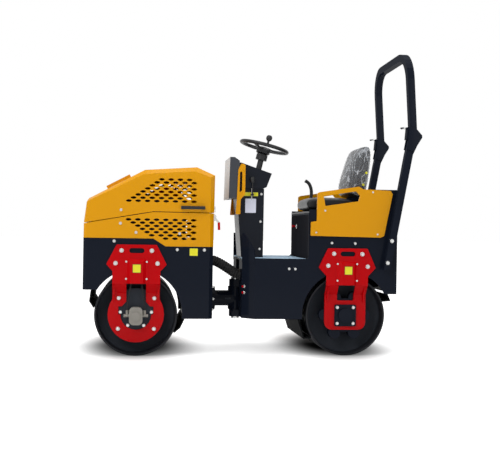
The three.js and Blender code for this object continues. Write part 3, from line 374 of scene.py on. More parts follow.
# ---------------------------------------------------------------- hood and cowl with punched slots
# Folded orange sheet, punched with rows of pointed slots. The rows shift by half a pitch in turn, end on one
# upright line at the back, and grow shorter towards the roof and the foot. The handles are black plastic, and
# the cowl's latches are plated steel.
SIDES = (("left", -1), ("right", 1))
FRAME_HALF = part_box("front_frame")[1][1]
ORANGE = finish("orange_enamel", linear(220, 152, 3), 0.32, coat=0.24, specular=0.03, mottle=(1.5, 0.03),
                grain=(260, 0.04))
dress(ORANGE, "hood", "engine_cowl")
SLOT_PITCH = 0.0626
ROW_PITCH = 0.0211
SLOT_BACK = 0.380
SLOT_LONG = 0.041
SLOT_HIGH = 0.0175
UPPER_ROWS = (8, 7, 7, 6, 6, 5, 5, 4)     # from the bottom row upwards
LOWER_ROWS = (8, 7, 7, 6, 6, 5, 4)        # from the top row downwards
UPPER_FOOT = 1.051
LOWER_TOP = 0.925


def lens(long, high, steps=6):
    """A pointed oval, anticlockwise: height follows (1 - u^2)^0.75 along its length."""
    u = np.linspace(1, -1, steps * 2 + 1)
    rise = high / 2 * (1 - u ** 2) ** 0.75
    half = np.stack([long / 2 * u, rise], 1)
    return np.concatenate([half, -half[1:-1]])


def slot_places(rows, z, step):
    """The middle (x, z) of each slot: every other row starts half a pitch ahead of the back line."""
    return np.array([(FRONT_X + SLOT_BACK - (i % 2) * SLOT_PITCH / 2 - j * SLOT_PITCH, z + i * step)
                     for i, count in enumerate(rows) for j in range(count)])


def end_caps(rows, columns, start=0):
    """One face over the first row of points, seen from below, and one over the last, seen from above."""
    last = start + (rows - 1) * columns
    return [tuple(range(start + columns - 1, start - 1, -1)), tuple(range(last, last + columns))]


def prisms(places, outline, low, high):
    """Prisms across the sheet: at each place, one outline carried from y = high to y = low."""
    flat = places[:, None, None, :] + outline
    flat = np.repeat(flat, 2, axis=1)
    depth = np.broadcast_to(np.array((high, low))[:, None], flat.shape[:3])
    points = np.stack([flat[..., 0], depth, flat[..., 1]], -1).reshape(-1, 3)
    count = len(outline)
    faces = []
    for start in range(0, len(points), 2 * count):
        faces += grid_faces(2, count, start) + end_caps(2, count, start)
    return points, faces


def punched(node_name, body, rows, z, step, material):
    """The node's sheet with its slots cut through both sides."""
    source = frame["nodes"][node_name]
    mesh = source.data.copy()
    mesh.transform(source.matrix_world)
    piece = bpy.data.objects.new(node_name + "_punched", mesh)
    scene.collection.objects.link(piece)
    for _, way in SIDES:
        points, faces = prisms(slot_places(rows, z, step), lens(SLOT_LONG, SLOT_HIGH),
                               *sorted((way * (FRAME_HALF - 0.030), way * (FRAME_HALF + 0.020))))
        tool_mesh = bpy.data.meshes.new("punch")
        tool_mesh.from_pydata(points, [], faces)
        tool = bpy.data.objects.new("punch", tool_mesh)
        scene.collection.objects.link(tool)
        cut = piece.modifiers.new("cut", "BOOLEAN")
        cut.object = tool
        cut.solver = "EXACT"
        bpy.context.view_layer.update()
        evaluated = piece.evaluated_get(bpy.context.evaluated_depsgraph_get())
        result = bpy.data.meshes.new_from_object(evaluated)
        piece.modifiers.clear()
        piece.data = result
        bpy.data.objects.remove(tool)
    editing = bmesh.new()
    editing.from_mesh(piece.data)
    bmesh.ops.remove_doubles(editing, verts=editing.verts, dist=1e-5)
    bmesh.ops.dissolve_limit(editing, angle_limit=np.radians(0.5), verts=editing.verts, edges=editing.edges)
    editing.to_mesh(piece.data)
    editing.free()
    piece.data.materials.clear()
    piece.data.materials.append(material)
    piece.data.shade_smooth()
    ease_edges(piece, 0.0016)
    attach(piece, body)
    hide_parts(node_name)
    return piece


hood = punched("hood", "hood", UPPER_ROWS, UPPER_FOOT, ROW_PITCH, ORANGE)
hood.data.materials.append(PLASTIC)
handle = np.abs(face_middles(hood.data)[:, 1]) > FRAME_HALF + 0.001
hood.data.polygons.foreach_set("material_index", handle.astype(int))

# The latches stand on the cowl's back corners, and their grips are dipped in red.
cowl = punched("engine_cowl", "front_frame", LOWER_ROWS, LOWER_TOP, -ROW_PITCH, ORANGE)
cowl.data.materials.append(ZINC)
cowl.data.materials.append(RED)
LATCH_X = FRONT_X + 0.5285
LATCH_Y = 0.334
PLATED, DIPPED = 1, 2                     # places of the two finishes on the cowl
middles = face_middles(cowl.data)
areas = np.empty(len(middles))
cowl.data.polygons.foreach_get("area", areas)
past_back = middles[:, 0] > LATCH_X
hook = (np.abs(np.abs(middles[:, 1]) - LATCH_Y) < 0.016) & (middles[:, 0] > LATCH_X - 0.011) & (areas < 0.004)
grip = (middles[:, 2] < 0.905) & (middles[:, 0] > LATCH_X + 0.006)
cowl.data.polygons.foreach_set("material_index", np.where(past_back | hook, np.where(grip, DIPPED, PLATED), 0))

# ---------------------------------------------------------------- behind the slots
# The engine is one dark block. A dark air cleaner lies along its top, with a red fan shroud behind it, both
# turned about an axis across the machine.
ENGINE = finish("engine_enamel", linear(34, 36, 38), 0.6, specular=0.2, mottle=(6.0, 0.3), grain=(80, 0.2))
dress(ENGINE, "engine_block")
SHROUD = [(0.0, -0.02), (0.15, -0.02), (0.165, -0.01), (0.165, 0.03), (0.15, 0.04), (0.0, 0.04)]
CLEANER = [(0.0, -0.20), (0.085, -0.20), (0.095, -0.19), (0.095, 0.19), (0.085, 0.20), (0.0, 0.20)]
for name, profile, centre, material in (("air_cleaner", CLEANER, (FRONT_X - 0.02, 0.04, 1.060), ENGINE),
                                        ("fan_shroud", SHROUD, (FRONT_X + 0.20, 0.0, 1.00), RED)):
    points, faces = turned(profile, centre, ABOUT_Y, 48)
    new_piece(name, points, faces, material, "front_frame")


# ---------------------------------------------------------------- bolts
# Plated hexagon heads on washers stand on the plates that they clamp. Each set is one piece.
def bolt_set(name, places, outward, size, body, material=ZINC, cap=0.0):
    """Hexagon heads of a given size across flats, each on a washer, facing along outward. Every part is a profile
    of (radius, height) in head sizes, turned about outward. cap is the height of a thread past the head."""
    outward = np.array(outward, float)
    outward /= np.linalg.norm(outward)
    side = np.cross(outward, (0, 0, 1) if abs(outward[2]) < 0.9 else (1, 0, 0))
    side /= np.linalg.norm(side)
    up = np.cross(side, outward)
    corner = 1 / np.sqrt(3)
    washer = [(0.45, 0), (0.62, 0), (0.62, 0.07), (0.58, 0.10), (0.0, 0.10)]
    head = [(corner, 0.10), (corner, 0.42), (corner * 0.88, 0.50), (0.0, 0.50)]
    thread = [(0.24, 0.50), (0.24, 0.50 + cap / size), (0.18, 0.54 + cap / size), (0.0, 0.54 + cap / size)]
    points, faces = [], []
    for index, place in enumerate(places):
        for profile, around in ((washer, 20), (head, 6)) + (((thread, 12),) if cap else ()):
            angle = index * 0.7 - np.linspace(0, 2 * np.pi, around, endpoint=False)
            radius, height = np.array(profile)[:, :, None, None].transpose(1, 0, 2, 3) * size
            ring = np.array(place) + outward * height + radius * (side * np.cos(angle)[:, None]
                                                                  + up * np.sin(angle)[:, None])
            faces += grid_faces(len(profile), around, sum(map(len, points)))
            points.append(ring.reshape(-1, 3))
    piece = new_piece(name, np.concatenate(points), faces, material, body, sharp=25)
    return piece


def from_front(pairs, y):
    """Places (x from the front axle, z) at one y."""
    return [(FRONT_X + x, y, z) for x, z in pairs]


def from_rear(pairs, y):
    """Places (x from the rear axle, z) at one y."""
    return [(REAR_X + x, y, z) for x, z in pairs]


COVER_Y = abs(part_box("front_bracket_left")[0][1])
BRACKET_Y = COVER_Y - 0.0238              # outer face of the upper plate
RING_Y = DRUM_HALF - 0.010                # outer face of the ring
FRONT_SETS = (                            # name, places, y, head size, body, thread
    ("front_frame_bolts", [(-0.152, 0.777), (0.272, 0.724), (0.456, 0.724)], FRAME_HALF, 0.017, "front_frame", 0),
    ("hood_bolts", [(-0.109, 0.988)], 0.378, 0.015, "hood", 0),
    ("cowl_bolts", [(-0.112, 0.897), (-0.007, 0.837), (0.286, 0.834)], 0.378, 0.016, "front_frame", 0),
    ("front_bracket_bolts", [(-0.101, 0.715), (0.101, 0.715), (-0.140, 0.629), (0.140, 0.629)], BRACKET_Y, 0.024,
     "front_frame", 0.004),
    ("front_ring_bolts", [(-0.116, 0.391), (0.123, 0.391), (-0.119, 0.183), (0.123, 0.182)], RING_Y, 0.022,
     "front_frame", 0.003),
    ("motor_flange_bolts", [(-0.105, 0.295), (0.105, 0.295), (-0.054, 0.205), (0.054, 0.205)], RING_Y - 0.012,
     0.019, "front_frame", 0))
REAR_SETS = (
    ("rear_bracket_bolts", [(-0.094, 0.710), (0.106, 0.709), (-0.134, 0.627), (0.145, 0.623)], BRACKET_Y, 0.024,
     "rear_frame", 0.004),
    ("rear_plate_screws", [(-0.108, 0.784), (0.057, 0.782), (-0.405, 0.602), (-0.362, 0.601)], FRAME_HALF, 0.015,
     "rear_frame", 0),
    ("panel_screws", [(-0.161, 1.007), (-0.222, 0.855), (0.212, 0.848), (0.174, 1.140)], 0.392, 0.011,
     "rear_frame", 0),
    ("roll_bar_bolts", [(0.300, 0.804), (0.272, 0.652)], 0.447, 0.022, "rear_frame", 0))
for label, way in SIDES:
    outward = (0, way, 0)
    for sets, placed in ((FRONT_SETS, from_front), (REAR_SETS, from_rear)):
        for name, pairs, y, size, body, cap in sets:
            bolt_set(name + "_" + label, placed(pairs, way * y), outward, size, body, cap=cap)
    for part, x in (("front", FRONT_X), ("rear", REAR_X)):
        bolt_set(part + "_cover_screws_" + label, [(x + a, way * BRACKET_Y, z) for a in (-0.0685, 0.0685)
                 for z in (0.640, 0.5245)], outward, 0.013, part + "_frame")
    (cap_back, cap_near, cap_foot), (cap_front, cap_far, cap_top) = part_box("rear_cap_" + label)
    cap_y = max(abs(cap_near), abs(cap_far)) - 0.017
    bolt_set("rear_cap_bolts_" + label, [(x, way * cap_y, z) for x in (cap_back + 0.020, cap_front - 0.020)
             for z in (cap_foot + 0.020, cap_top - 0.020)], outward, 0.018, "rear_frame")
    bolt_set("console_bolts_" + label, [(REAR_X - 0.576 + (z - 1.12) * 0.02, way * 0.150, z)
             for z in (1.121, 0.925, 0.731)], outward, 0.014, "rear_frame")


# ---------------------------------------------------------------- bare labels and the card
# Blank stickers with a dark border, and a blank card in a clear sleeve. Each is a thin sheet with round corners.
def thin_sheet(name, centre, across, up, size, corner, material, body, lift=0.0007):
    """A flat sheet that stands off its plate by its thickness. Its rim is four quarter circles of the corner's
    radius: corner centre + across r cos a + up r sin a."""
    centre, across, up = (np.array(v, float) for v in (centre, across, up))
    corners = np.repeat(((1, 1), (-1, 1), (-1, -1), (1, -1)), 5, axis=0)
    angle = np.pi / 2 * np.add.outer(np.arange(4), np.linspace(0, 1, 5)).ravel()
    flat = corners * (np.array(size) / 2 - corner) + corner * np.stack([np.cos(angle), np.sin(angle)], 1)
    rim = centre + flat @ np.stack([across, up])
    points = np.concatenate([rim, rim + np.cross(across, up) * lift])
    return new_piece(name, points, grid_faces(2, len(rim)) + end_caps(2, len(rim)), material, body)


LABEL = finish("label_yellow", linear(226, 220, 20), 0.35, coat=0.1, mottle=(10.0, 0.03), grain=(200, 0.01))
LABEL_EDGE = finish("label_edge", linear(38, 38, 30), 0.4, mottle=(9.0, 0.05))
CARD = finish("white_card", linear(214, 218, 235), 0.4, coat=0.4, mottle=(8.0, 0.04), grain=(150, 0.03))
LEFT_FACE = ((1, 0, 0), (0, 0, 1))        # across and up on a face turned to -Y
for name, centre, size, body in (
        ("frame_label", (FRONT_X + 0.3835, -FRAME_HALF - 0.0003, 0.709), (0.059, 0.054), "front_frame"),
        ("front_cover_label", (FRONT_X + 0.002, -COVER_Y - 0.0003, 0.595), (0.056, 0.058), "front_frame"),
        ("rear_cover_label", (REAR_X + 0.004, -COVER_Y - 0.0003, 0.595), (0.056, 0.058), "rear_frame"),
        ("console_label", (REAR_X - 0.6495, -0.1503, 1.1195), (0.103, 0.031), "rear_frame")):
    thin_sheet(name + "_edge", centre, *LEFT_FACE, size, 0.004, LABEL_EDGE, body, 0.0005)
    inner = (centre[0], centre[1] - 0.0005, centre[2])
    thin_sheet(name, inner, *LEFT_FACE, (size[0] - 0.005, size[1] - 0.005), 0.003, LABEL, body, 0.0004)
card = thin_sheet("console_card", (REAR_X - 0.6525, -0.1505, 1.0375), *LEFT_FACE, (0.077, 0.101), 0.003, CARD,
                  "rear_frame", 0.0012)

# ---------------------------------------------------------------- hose bundle over the joint
# Hydraulic hoses wrapped in a black plastic spiral, whose ridge runs round as it goes along. The bundle is a
# tube swept along its route. It is parted at its bend into two halves, each listed with the two bodies it runs
# between, and neither is attached to a body.
BUNDLE_RADIUS = 0.036
WRAP_PITCH = 0.017
PIN_X = middle("steering_pin")[0]
BUNDLE_ROUTE = [(-0.217, -0.122, 0.646), (-0.169, -0.122, 0.644), (-0.120, -0.130, 0.622),
                (-0.062, -0.138, 0.586), (-0.010, -0.146, 0.554), (0.038, -0.146, 0.548)]   # from the pin


def smooth_route(corners, per_span=24):
    """A centripetal Catmull-Rom curve through the corners, as even points.
    Each span blends its four nearest corners by knots spaced as the square root of their distance."""
    corners = np.array(corners, float)
    padded = [2 * corners[0] - corners[1], *corners, 2 * corners[-1] - corners[-2]]
    route = []
    for a, b, c, d in zip(padded, padded[1:], padded[2:], padded[3:]):
        t1 = np.sqrt(np.linalg.norm(b - a))
        t2 = t1 + np.sqrt(np.linalg.norm(c - b))
        t3 = t2 + np.sqrt(np.linalg.norm(d - c))
        t = np.linspace(t1, t2, per_span, endpoint=False)[:, None]
        ab = a + (b - a) * t / t1
        bc = b + (c - b) * (t - t1) / (t2 - t1)
        cd = c + (d - c) * (t - t2) / (t3 - t2)
        abc = ab + (bc - ab) * t / t2
        bcd = bc + (cd - bc) * (t - t1) / (t3 - t1)
        route.append(abc + (bcd - abc) * (t - t1) / (t2 - t1))
    return np.concatenate(route + [corners[-1:]])


def swept(route, radius_at, around=40):
    """A tube along a route, with flat ends. Each ring is place + normal r cos a + other r sin a, where normal is
    one direction laid square to the route, and radius_at(distance along, a) gives r."""
    tangent = np.gradient(route, axis=0)
    tangent /= np.linalg.norm(tangent, axis=1)[:, None]
    along = np.concatenate([[0], np.cumsum(np.linalg.norm(np.diff(route, axis=0), axis=1))])
    first = np.cross(tangent[0], (0, 1, 0) if abs(tangent[0][1]) < 0.9 else (0, 0, 1))
    normal = first - tangent * (tangent @ first)[:, None]
    normal /= np.linalg.norm(normal, axis=1)[:, None]
    other = np.cross(tangent, normal)
    angle = np.linspace(0, 2 * np.pi, around, endpoint=False)
    radius = np.broadcast_to(radius_at(along[:, None], angle), (len(route), around))
    points = (route[:, None] + (np.cos(angle) * radius)[..., None] * normal[:, None]
              + (np.sin(angle) * radius)[..., None] * other[:, None])
    return points.reshape(-1, 3), grid_faces(len(route), around) + end_caps(len(route), around)


def spiral_wrap(distance, angle):
    """A narrow groove that climbs one pitch a turn, with a low ridge between: bell and cosine of the phase."""
    phase = (distance / WRAP_PITCH + angle / (2 * np.pi)) % 1
    return (BUNDLE_RADIUS - 0.0035 * np.exp(-((phase - 0.5) / 0.13) ** 2)
            - 0.001 * (1 - np.cos(2 * np.pi * phase)) / 2)


dress(RUBBER, "hose_bundle_front", "hose_bundle_rear", turned_part=True)
bundle_route = smooth_route(BUNDLE_ROUTE) + (PIN_X, 0, 0)
BUNDLE_START, BUNDLE_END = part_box("hose_bundle_front")[0][0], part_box("hose_bundle_rear")[1][0]
BEND_X = PIN_X - 0.092
for name, low, high, bodies in (
        ("hose_bundle_front", BUNDLE_START + 0.004, BEND_X + 0.002, ("front_frame", "centre_yoke")),
        ("hose_bundle_rear", BEND_X - 0.002, BUNDLE_END - 0.004, ("centre_yoke", "rear_frame"))):
    route = bundle_route[(bundle_route[:, 0] >= low) & (bundle_route[:, 0] <= high)]
    points, faces = swept(route, spiral_wrap)
    bundle = new_piece(name + "_wrapped", points, faces, RUBBER, None, sharp=60)
    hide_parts(name)
    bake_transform(bundle)

# ---------------------------------------------------------------- floor plate, console and its guard
# The floor is pale blue anti-slip sheet. The console is a folded navy column under a sloping box, with orange
# grab rails and a guard ahead of it, navy on its cheeks, with a painted reflection in pale on its forward faces.
FLOOR_BLUE = finish("anti_slip_floor", linear(160, 190, 214), 0.6, mottle=(5.0, 0.12), grain=(700, 0.7))
COLUMN_NAVY = finish("column_enamel", linear(18, 22, 31), 0.36, coat=0.12, specular=0.08, mottle=(2.0, 0.10),
                     grain=(300, 0.06))
# The guard's pale colour is a painted reflection, laid only on faces turned forwards; elsewhere it takes the navy
# below.
GUARD = finish("guard_enamel", linear(182, 185, 188), 0.4, coat=0.2, mottle=(2.0, 0.05))
guard_tree = GUARD.node_tree
facing = guard_tree.nodes.new("ShaderNodeTexCoord")
axes = guard_tree.nodes.new("ShaderNodeSeparateXYZ")
ahead = guard_tree.nodes.new("ShaderNodeMath")
ahead.operation = "LESS_THAN"
ahead.inputs[1].default_value = -0.8      # the normal's x, on a face turned forwards
painted_reflection_mix = guard_tree.nodes.new("ShaderNodeMixRGB")
painted_reflection_mix.inputs["Color1"].default_value = linear(25, 30, 41)
guard_shader = guard_tree.nodes["Principled BSDF"]
painted_reflection_tint = guard_shader.inputs["Base Color"].links[0].from_socket
guard_tree.links.new(facing.outputs["Normal"], axes.inputs["Vector"])
guard_tree.links.new(axes.outputs["X"], ahead.inputs[0])
guard_tree.links.new(ahead.outputs["Value"], painted_reflection_mix.inputs["Fac"])
guard_tree.links.new(painted_reflection_tint, painted_reflection_mix.inputs["Color2"])
guard_tree.links.new(painted_reflection_mix.outputs["Color"], guard_shader.inputs["Base Color"])
dress(FLOOR_BLUE, "floor_plate")
dress(COLUMN_NAVY, "console_column", "dash_box")
dress(GUARD, "console_guard")
dress(ORANGE, "side_panel_left", "side_panel_right", "grab_rail_left", "grab_rail_right")
dress(PLASTIC, "steering_column", turned_part=True)
dress(PLASTIC, "throttle_lever")

# A throttle rod runs down from its lever, which ends in a round knob.
ABOUT_Z = np.eye(3)
ROD_X = REAR_X - 0.649
ROD_RADIUS = 0.003
rod_route = np.linspace((ROD_X, -0.180, 1.075), (ROD_X, -0.180, 1.16), 12)
points, faces = swept(rod_route, lambda distance, angle: ROD_RADIUS, 12)
new_piece("throttle_rod", points, faces, ZINC, "rear_frame")
KNOB = [(0.0, 1.205), (0.008, 1.206), (0.0145, 1.214), (0.0145, 1.228), (0.011, 1.237), (0.0, 1.240)]
points, faces = turned(KNOB, (ROD_X, -0.188, 0), ABOUT_Z)
new_piece("throttle_knob", points, faces, PLASTIC, "rear_frame", sharp=60)

# ---------------------------------------------------------------- steering wheel
# Moulded black plastic: a rim with finger ridges beneath, three dished spokes, a padded hub and a spinner
# knob. All of it turns with the wheel.
dress(PLASTIC, "steering_wheel", turned_part=True)
wheel_joint = next(j for j in frame["record"]["behaviour"]["joints"] if j["name"] == "steering_wheel_turn")
WHEEL_CENTRE = np.array(wheel_joint["pos_m"])
WHEEL_AXIS = np.array(wheel_joint["axis"])
WHEEL_RIM = 0.1695
RIM_THICK = 0.0135
wheel_across = np.cross((0, 1, 0), WHEEL_AXIS)
WHEEL_AXES = (wheel_across, (0, 1, 0), WHEEL_AXIS)      # ahead, right, and up the axis


def wheel_rim(around=144, section=20):
    """A ring whose section thins underneath in ripples: from the axis rim + thick cos b, up it thick sin b, where
    thick loses up to 7 hundredths by (1 + cos 36 a) / 2 on the lower side."""
    angle = np.linspace(0, 2 * np.pi, around, endpoint=False)
    turn = np.linspace(0, 2 * np.pi, section, endpoint=False)[:, None]
    thick = RIM_THICK * (1 - 0.07 * np.maximum(0, -np.sin(turn)) * (0.5 + 0.5 * np.cos(36 * angle)))
    reach = WHEEL_RIM + thick * np.cos(turn)
    points = np.stack([reach * np.cos(angle), reach * np.sin(angle), thick * np.sin(turn)], -1)
    return points.reshape(-1, 3), grid_faces(section, around, ring=True)


def wheel_spoke(steps=12):
    """A flat bar with cut corners from the hub to the rim. It narrows and dips by a half sine along its length."""
    section = np.array(((-1, -.5), (-.8, -1), (.8, -1), (1, -.5), (1, .5), (.8, 1), (-.8, 1), (-1, .5)))
    reach = np.linspace(0.030, WHEEL_RIM - 0.006, steps)[:, None]
    swell = np.sin(np.pi * (reach - 0.030) / (WHEEL_RIM - 0.036))
    points = np.stack([reach + 0 * section[:, 0], (0.017 - 0.005 * swell) * section[:, 0],
                       0.006 * section[:, 1] - 0.006 - 0.010 * swell], -1)
    return points.reshape(-1, 3)


points, faces = wheel_rim()
rim = new_piece("steering_rim", WHEEL_CENTRE + points @ WHEEL_AXES, faces, PLASTIC, "steering_wheel", sharp=60)
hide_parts("steering_wheel")

spoke = wheel_spoke()
points, faces = [], []
for third in range(3):
    turn = Matrix.Rotation(-third * 2 * np.pi / 3, 3, "Z")
    points.append(spoke @ np.array(turn))
    faces += grid_faces(12, 8, third * len(spoke)) + end_caps(12, 8, third * len(spoke))
points = WHEEL_CENTRE + np.concatenate(points) @ WHEEL_AXES
spokes = new_piece("steering_spokes", points, faces, PLASTIC, "steering_wheel", sharp=50)

HUB = [(0.0, -0.053), (0.040, -0.053), (0.050, -0.045), (0.050, -0.016), (0.037, -0.006), (0.026, 0.0),
       (0.010, 0.002), (0.0, 0.002)]
SPINNER = [(0.0, 0.0), (0.008, 0.0), (0.008, 0.028), (0.014, 0.031), (0.0205, 0.041), (0.0220, 0.052),
           (0.0195, 0.063), (0.012, 0.070), (0.0, 0.072)]
for name, profile, right in (("steering_hub", HUB, 0), ("steering_knob", SPINNER, -WHEEL_RIM)):
    points, faces = turned(profile, WHEEL_CENTRE + (0, right, 0), WHEEL_AXES)
    new_piece(name, points, faces, PLASTIC, "steering_wheel", sharp=45)

# ---------------------------------------------------------------- seat
# Black vinyl cushions with rounded, crowned faces, padded. The back is still wrapped in the clear film it came
# in, whose creases catch the light and carry a painted highlight, and yellow buttons hold it at its sides.
VINYL = finish("seat_vinyl", linear(17, 17, 20), 0.36, coat=0.05, specular=0.25, mottle=(7.0, 0.2), grain=(420, 0.35))
dress(VINYL, "seat_cushion", "seat_back")


def pillow(low_end, high_end, half_width, half_thick, crown=0.02, rows=44, around=72, power=3.6, creases=0.0,
           taper=0.0):
    """A padded block between two ends. Its cross section is a superellipse |a|^p + |b|^p = 1 that shrinks towards
    each end as (1 - s^6)^(1/3). creases raises fine waves that run slantwise over the face, and taper thins the
    block evenly towards its high end."""
    low_end, high_end = np.array(low_end, float), np.array(high_end, float)
    length = np.linalg.norm(high_end - low_end)
    up = (high_end - low_end) / length
    front = np.cross((0, 1, 0), up)
    s = -np.cos(np.linspace(0, np.pi, rows))[:, None]
    t = np.linspace(0, 2 * np.pi, around, endpoint=False)
    shrink = np.maximum(1e-3, 1 - np.abs(s) ** 6) ** (1 / 3)
    a = np.sign(np.cos(t)) * np.abs(np.cos(t)) ** (2 / power)
    b = -np.sign(np.sin(t)) * np.abs(np.sin(t)) ** (2 / power)
    wide = half_width * (1 - 0.10 * (1 - shrink) - 0.03 * s * s)
    thick = ((half_thick - crown) * shrink + crown * (1 - a * a) * (1 - s * s) * shrink) * (1 - taper * (1 + s) / 2)
    wave = creases * shrink * (np.sin(31 * a + 17 * s + 3 * np.sin(5 * s)) * np.sin(23 * s - 9 * a)
                               + 0.6 * np.sin(57 * s + 21 * a * b))
    points = ((low_end + high_end) / 2 + (s * length / 2)[..., None] * up
              + (a * wide)[..., None] * np.array((0, 1, 0)) + (b * (thick + wave))[..., None] * front)
    return points.reshape(-1, 3), grid_faces(rows, around) + end_caps(rows, around)


cushion_low, cushion_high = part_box("seat_cushion")
cushion_z = (cushion_low[2] + cushion_high[2]) / 2
points, faces = pillow((cushion_low[0] + 0.001, 0, cushion_z), (cushion_high[0], 0, cushion_z), 0.224,
                       (cushion_high[2] - cushion_low[2]) / 2 - 0.0005, crown=0.008, power=6, creases=0.0012)
cushion = new_piece("seat_cushion_vinyl", points, faces, VINYL, "rear_frame", sharp=70)
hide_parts("seat_cushion")

back_low, back_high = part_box("seat_back")
BACK_FOOT = (REAR_X + 0.103, 0, back_low[2] + 0.002)
BACK_TOP = (REAR_X + 0.176, 0, back_high[2] - 0.004)
points, faces = pillow(BACK_FOOT, BACK_TOP, 0.218, 0.094, creases=0.0008, taper=0.38)
back = new_piece("seat_back_vinyl", points, faces, VINYL, "rear_frame", sharp=70)
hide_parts("seat_back")


def clear_film():
    """Thin clear plastic: mostly see-through, with glossy creases where a noise field passes its middle value, whose
    pale colour is a painted highlight.
    """
    material = bpy.data.materials.new("clear_film")
    material.use_nodes = True
    tree = material.node_tree
    tree.nodes.clear()
    output = tree.nodes.new("ShaderNodeOutputMaterial")
    mix = tree.nodes.new("ShaderNodeMixShader")
    through = tree.nodes.new("ShaderNodeBsdfTransparent")
    gloss = tree.nodes.new("ShaderNodeBsdfPrincipled")
    gloss.inputs["Roughness"].default_value = 0.14
    gloss.inputs["Specular IOR Level"].default_value = 1.0
    # A pale base colour makes each crease a painted highlight, besides its real gloss.
    gloss.inputs["Base Color"].default_value = (0.78, 0.82, 0.88, 1)
    place = tree.nodes.new("ShaderNodeTexCoord")
    mapping = tree.nodes.new("ShaderNodeMapping")
    mapping.inputs["Scale"].default_value = (1.0, 1.0, 0.35)
    mapping.inputs["Rotation"].default_value = (0.35, 0.45, 0.2)
    crease = tree.nodes.new("ShaderNodeTexNoise")
    crease.inputs["Scale"].default_value = 13
    crease.inputs["Detail"].default_value = 3
    crease.inputs["Roughness"].default_value = 0.55
    crease.inputs["Distortion"].default_value = 1.1
    middle = tree.nodes.new("ShaderNodeMath")
    middle.operation = "SUBTRACT"
    middle.inputs[1].default_value = 0.5
    fold = tree.nodes.new("ShaderNodeMath")
    fold.operation = "ABSOLUTE"
    bump = tree.nodes.new("ShaderNodeBump")
    bump.inputs["Strength"].default_value = 0.8
    bump.inputs["Distance"].default_value = 0.01
    share = tree.nodes.new("ShaderNodeMapRange")
    share.inputs["From Min"].default_value = 0.0
    share.inputs["From Max"].default_value = 0.035
    share.inputs["To Min"].default_value = 0.55
    share.inputs["To Max"].default_value = 0.10
    links = tree.links
    links.new(place.outputs["Object"], mapping.inputs["Vector"])
    links.new(mapping.outputs["Vector"], crease.inputs["Vector"])
    links.new(crease.outputs["Fac"], middle.inputs[0])
    links.new(middle.outputs["Value"], fold.inputs[0])
    links.new(fold.outputs["Value"], bump.inputs["Height"])
    links.new(bump.outputs["Normal"], gloss.inputs["Normal"])
    links.new(fold.outputs["Value"], share.inputs["Value"])
    links.new(share.outputs["Result"], mix.inputs["Fac"])
    links.new(through.outputs["BSDF"], mix.inputs[1])
    links.new(gloss.outputs["BSDF"], mix.inputs[2])
    links.new(mix.outputs["Shader"], output.inputs["Surface"])
    return material


FILM = clear_film()
FILM_GAP = 0.004                          # how far the film stands off the vinyl
points, faces = pillow(np.array(BACK_FOOT) + (0, 0, FILM_GAP), np.array(BACK_TOP) + (0, 0, FILM_GAP / 2),
                       0.218 + FILM_GAP, 0.094 + FILM_GAP, creases=0.0028, rows=90, around=140, taper=0.38)
film = new_piece("seat_back_film", points, faces, FILM, "rear_frame", sharp=80)
for label, way in SIDES:
    bolt_set("seat_buttons_" + label, from_rear([(0.168, 1.285), (0.146, 1.200)], way * 0.2225), (0, way, 0), 0.015,
             "rear_frame", LABEL)

# ---------------------------------------------------------------- seat box and drive lever
# The seat box's front is a smooth sheet whose dark, flat colour is a painted reflection, in a narrow navy
# surround, with a red pull knob on a plated collar near its far edge. The drive lever stands in a ribbed rubber boot.
# A flat dark colour with no gloss: the polished sheet's dark reflections are painted into it.
SEAT_SHEET_PAINTED_REFLECTION = finish("seat_sheet_painted_reflection", linear(42, 42, 46), 0.30, specular=0.0, mottle=(5.0, 0.22), grain=(60, 0.06),
                     stretch=(1, 1, 0.25))
dress(SEAT_SHEET_PAINTED_REFLECTION, "seat_box_front")
dress(PLASTIC, "seat_box_top", "drive_lever")
lever_low, lever_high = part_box("drive_lever")
RIB_RADIUS, RIB_STEP = 0.040, 0.006
BOOT = [(0.050, 0.000), (0.050, 0.004)]
BOOT += [(RIB_RADIUS - 0.0045 * i + (0.004 if i % 2 else 0), RIB_STEP + RIB_STEP * i) for i in range(7)]
BOOT += [(0.012, 0.050), (0.0, 0.050)]
BOOT_AXES = ((1, 0, 0), (0, 0.7, 0), (0, 0, 1))         # narrower across the machine than along it
points, faces = turned(BOOT, (lever_low[0] + 0.036, (lever_low[1] + lever_high[1]) / 2, lever_low[2]), BOOT_AXES)
new_piece("drive_lever_boot", points, faces, RUBBER, "rear_frame", sharp=60)

KNOB_AT = np.array((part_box("seat_box_front")[0][0], 0.130, 0.897))
FORWARDS = ((0, 0, 1), (0, 1, 0), (-1, 0, 0))
COLLAR = [(0.017, 0), (0.017, 0.003), (0.006, 0.004), (0.005, 0.012), (0.0, 0.012)]
points, faces = turned(COLLAR, KNOB_AT, FORWARDS)
new_piece("pull_collar", points, faces, ZINC, "rear_frame")
pull_route = np.linspace(KNOB_AT - (0.010, 0, 0), KNOB_AT - (0.040, 0, 0), 16)
points, faces = swept(pull_route, lambda distance, angle: 0.0060 + 0.0030 * (distance > 0.016), 20)
new_piece("pull_knob", points, faces, RED, "rear_frame")
for name, y, z, wide, high in (("left", -0.362, 0.836, 0.012, 0.322), ("right", 0.355, 0.836, 0.024, 0.322),
                               ("top", 0.0, 0.984, 0.71, 0.012)):
    thin_sheet("seat_box_surround_" + name, (KNOB_AT[0] - 0.0003, y, z), (0, -1, 0), (0, 0, 1), (wide, high),
                       0.001, NAVY, "rear_frame", 0.0015)

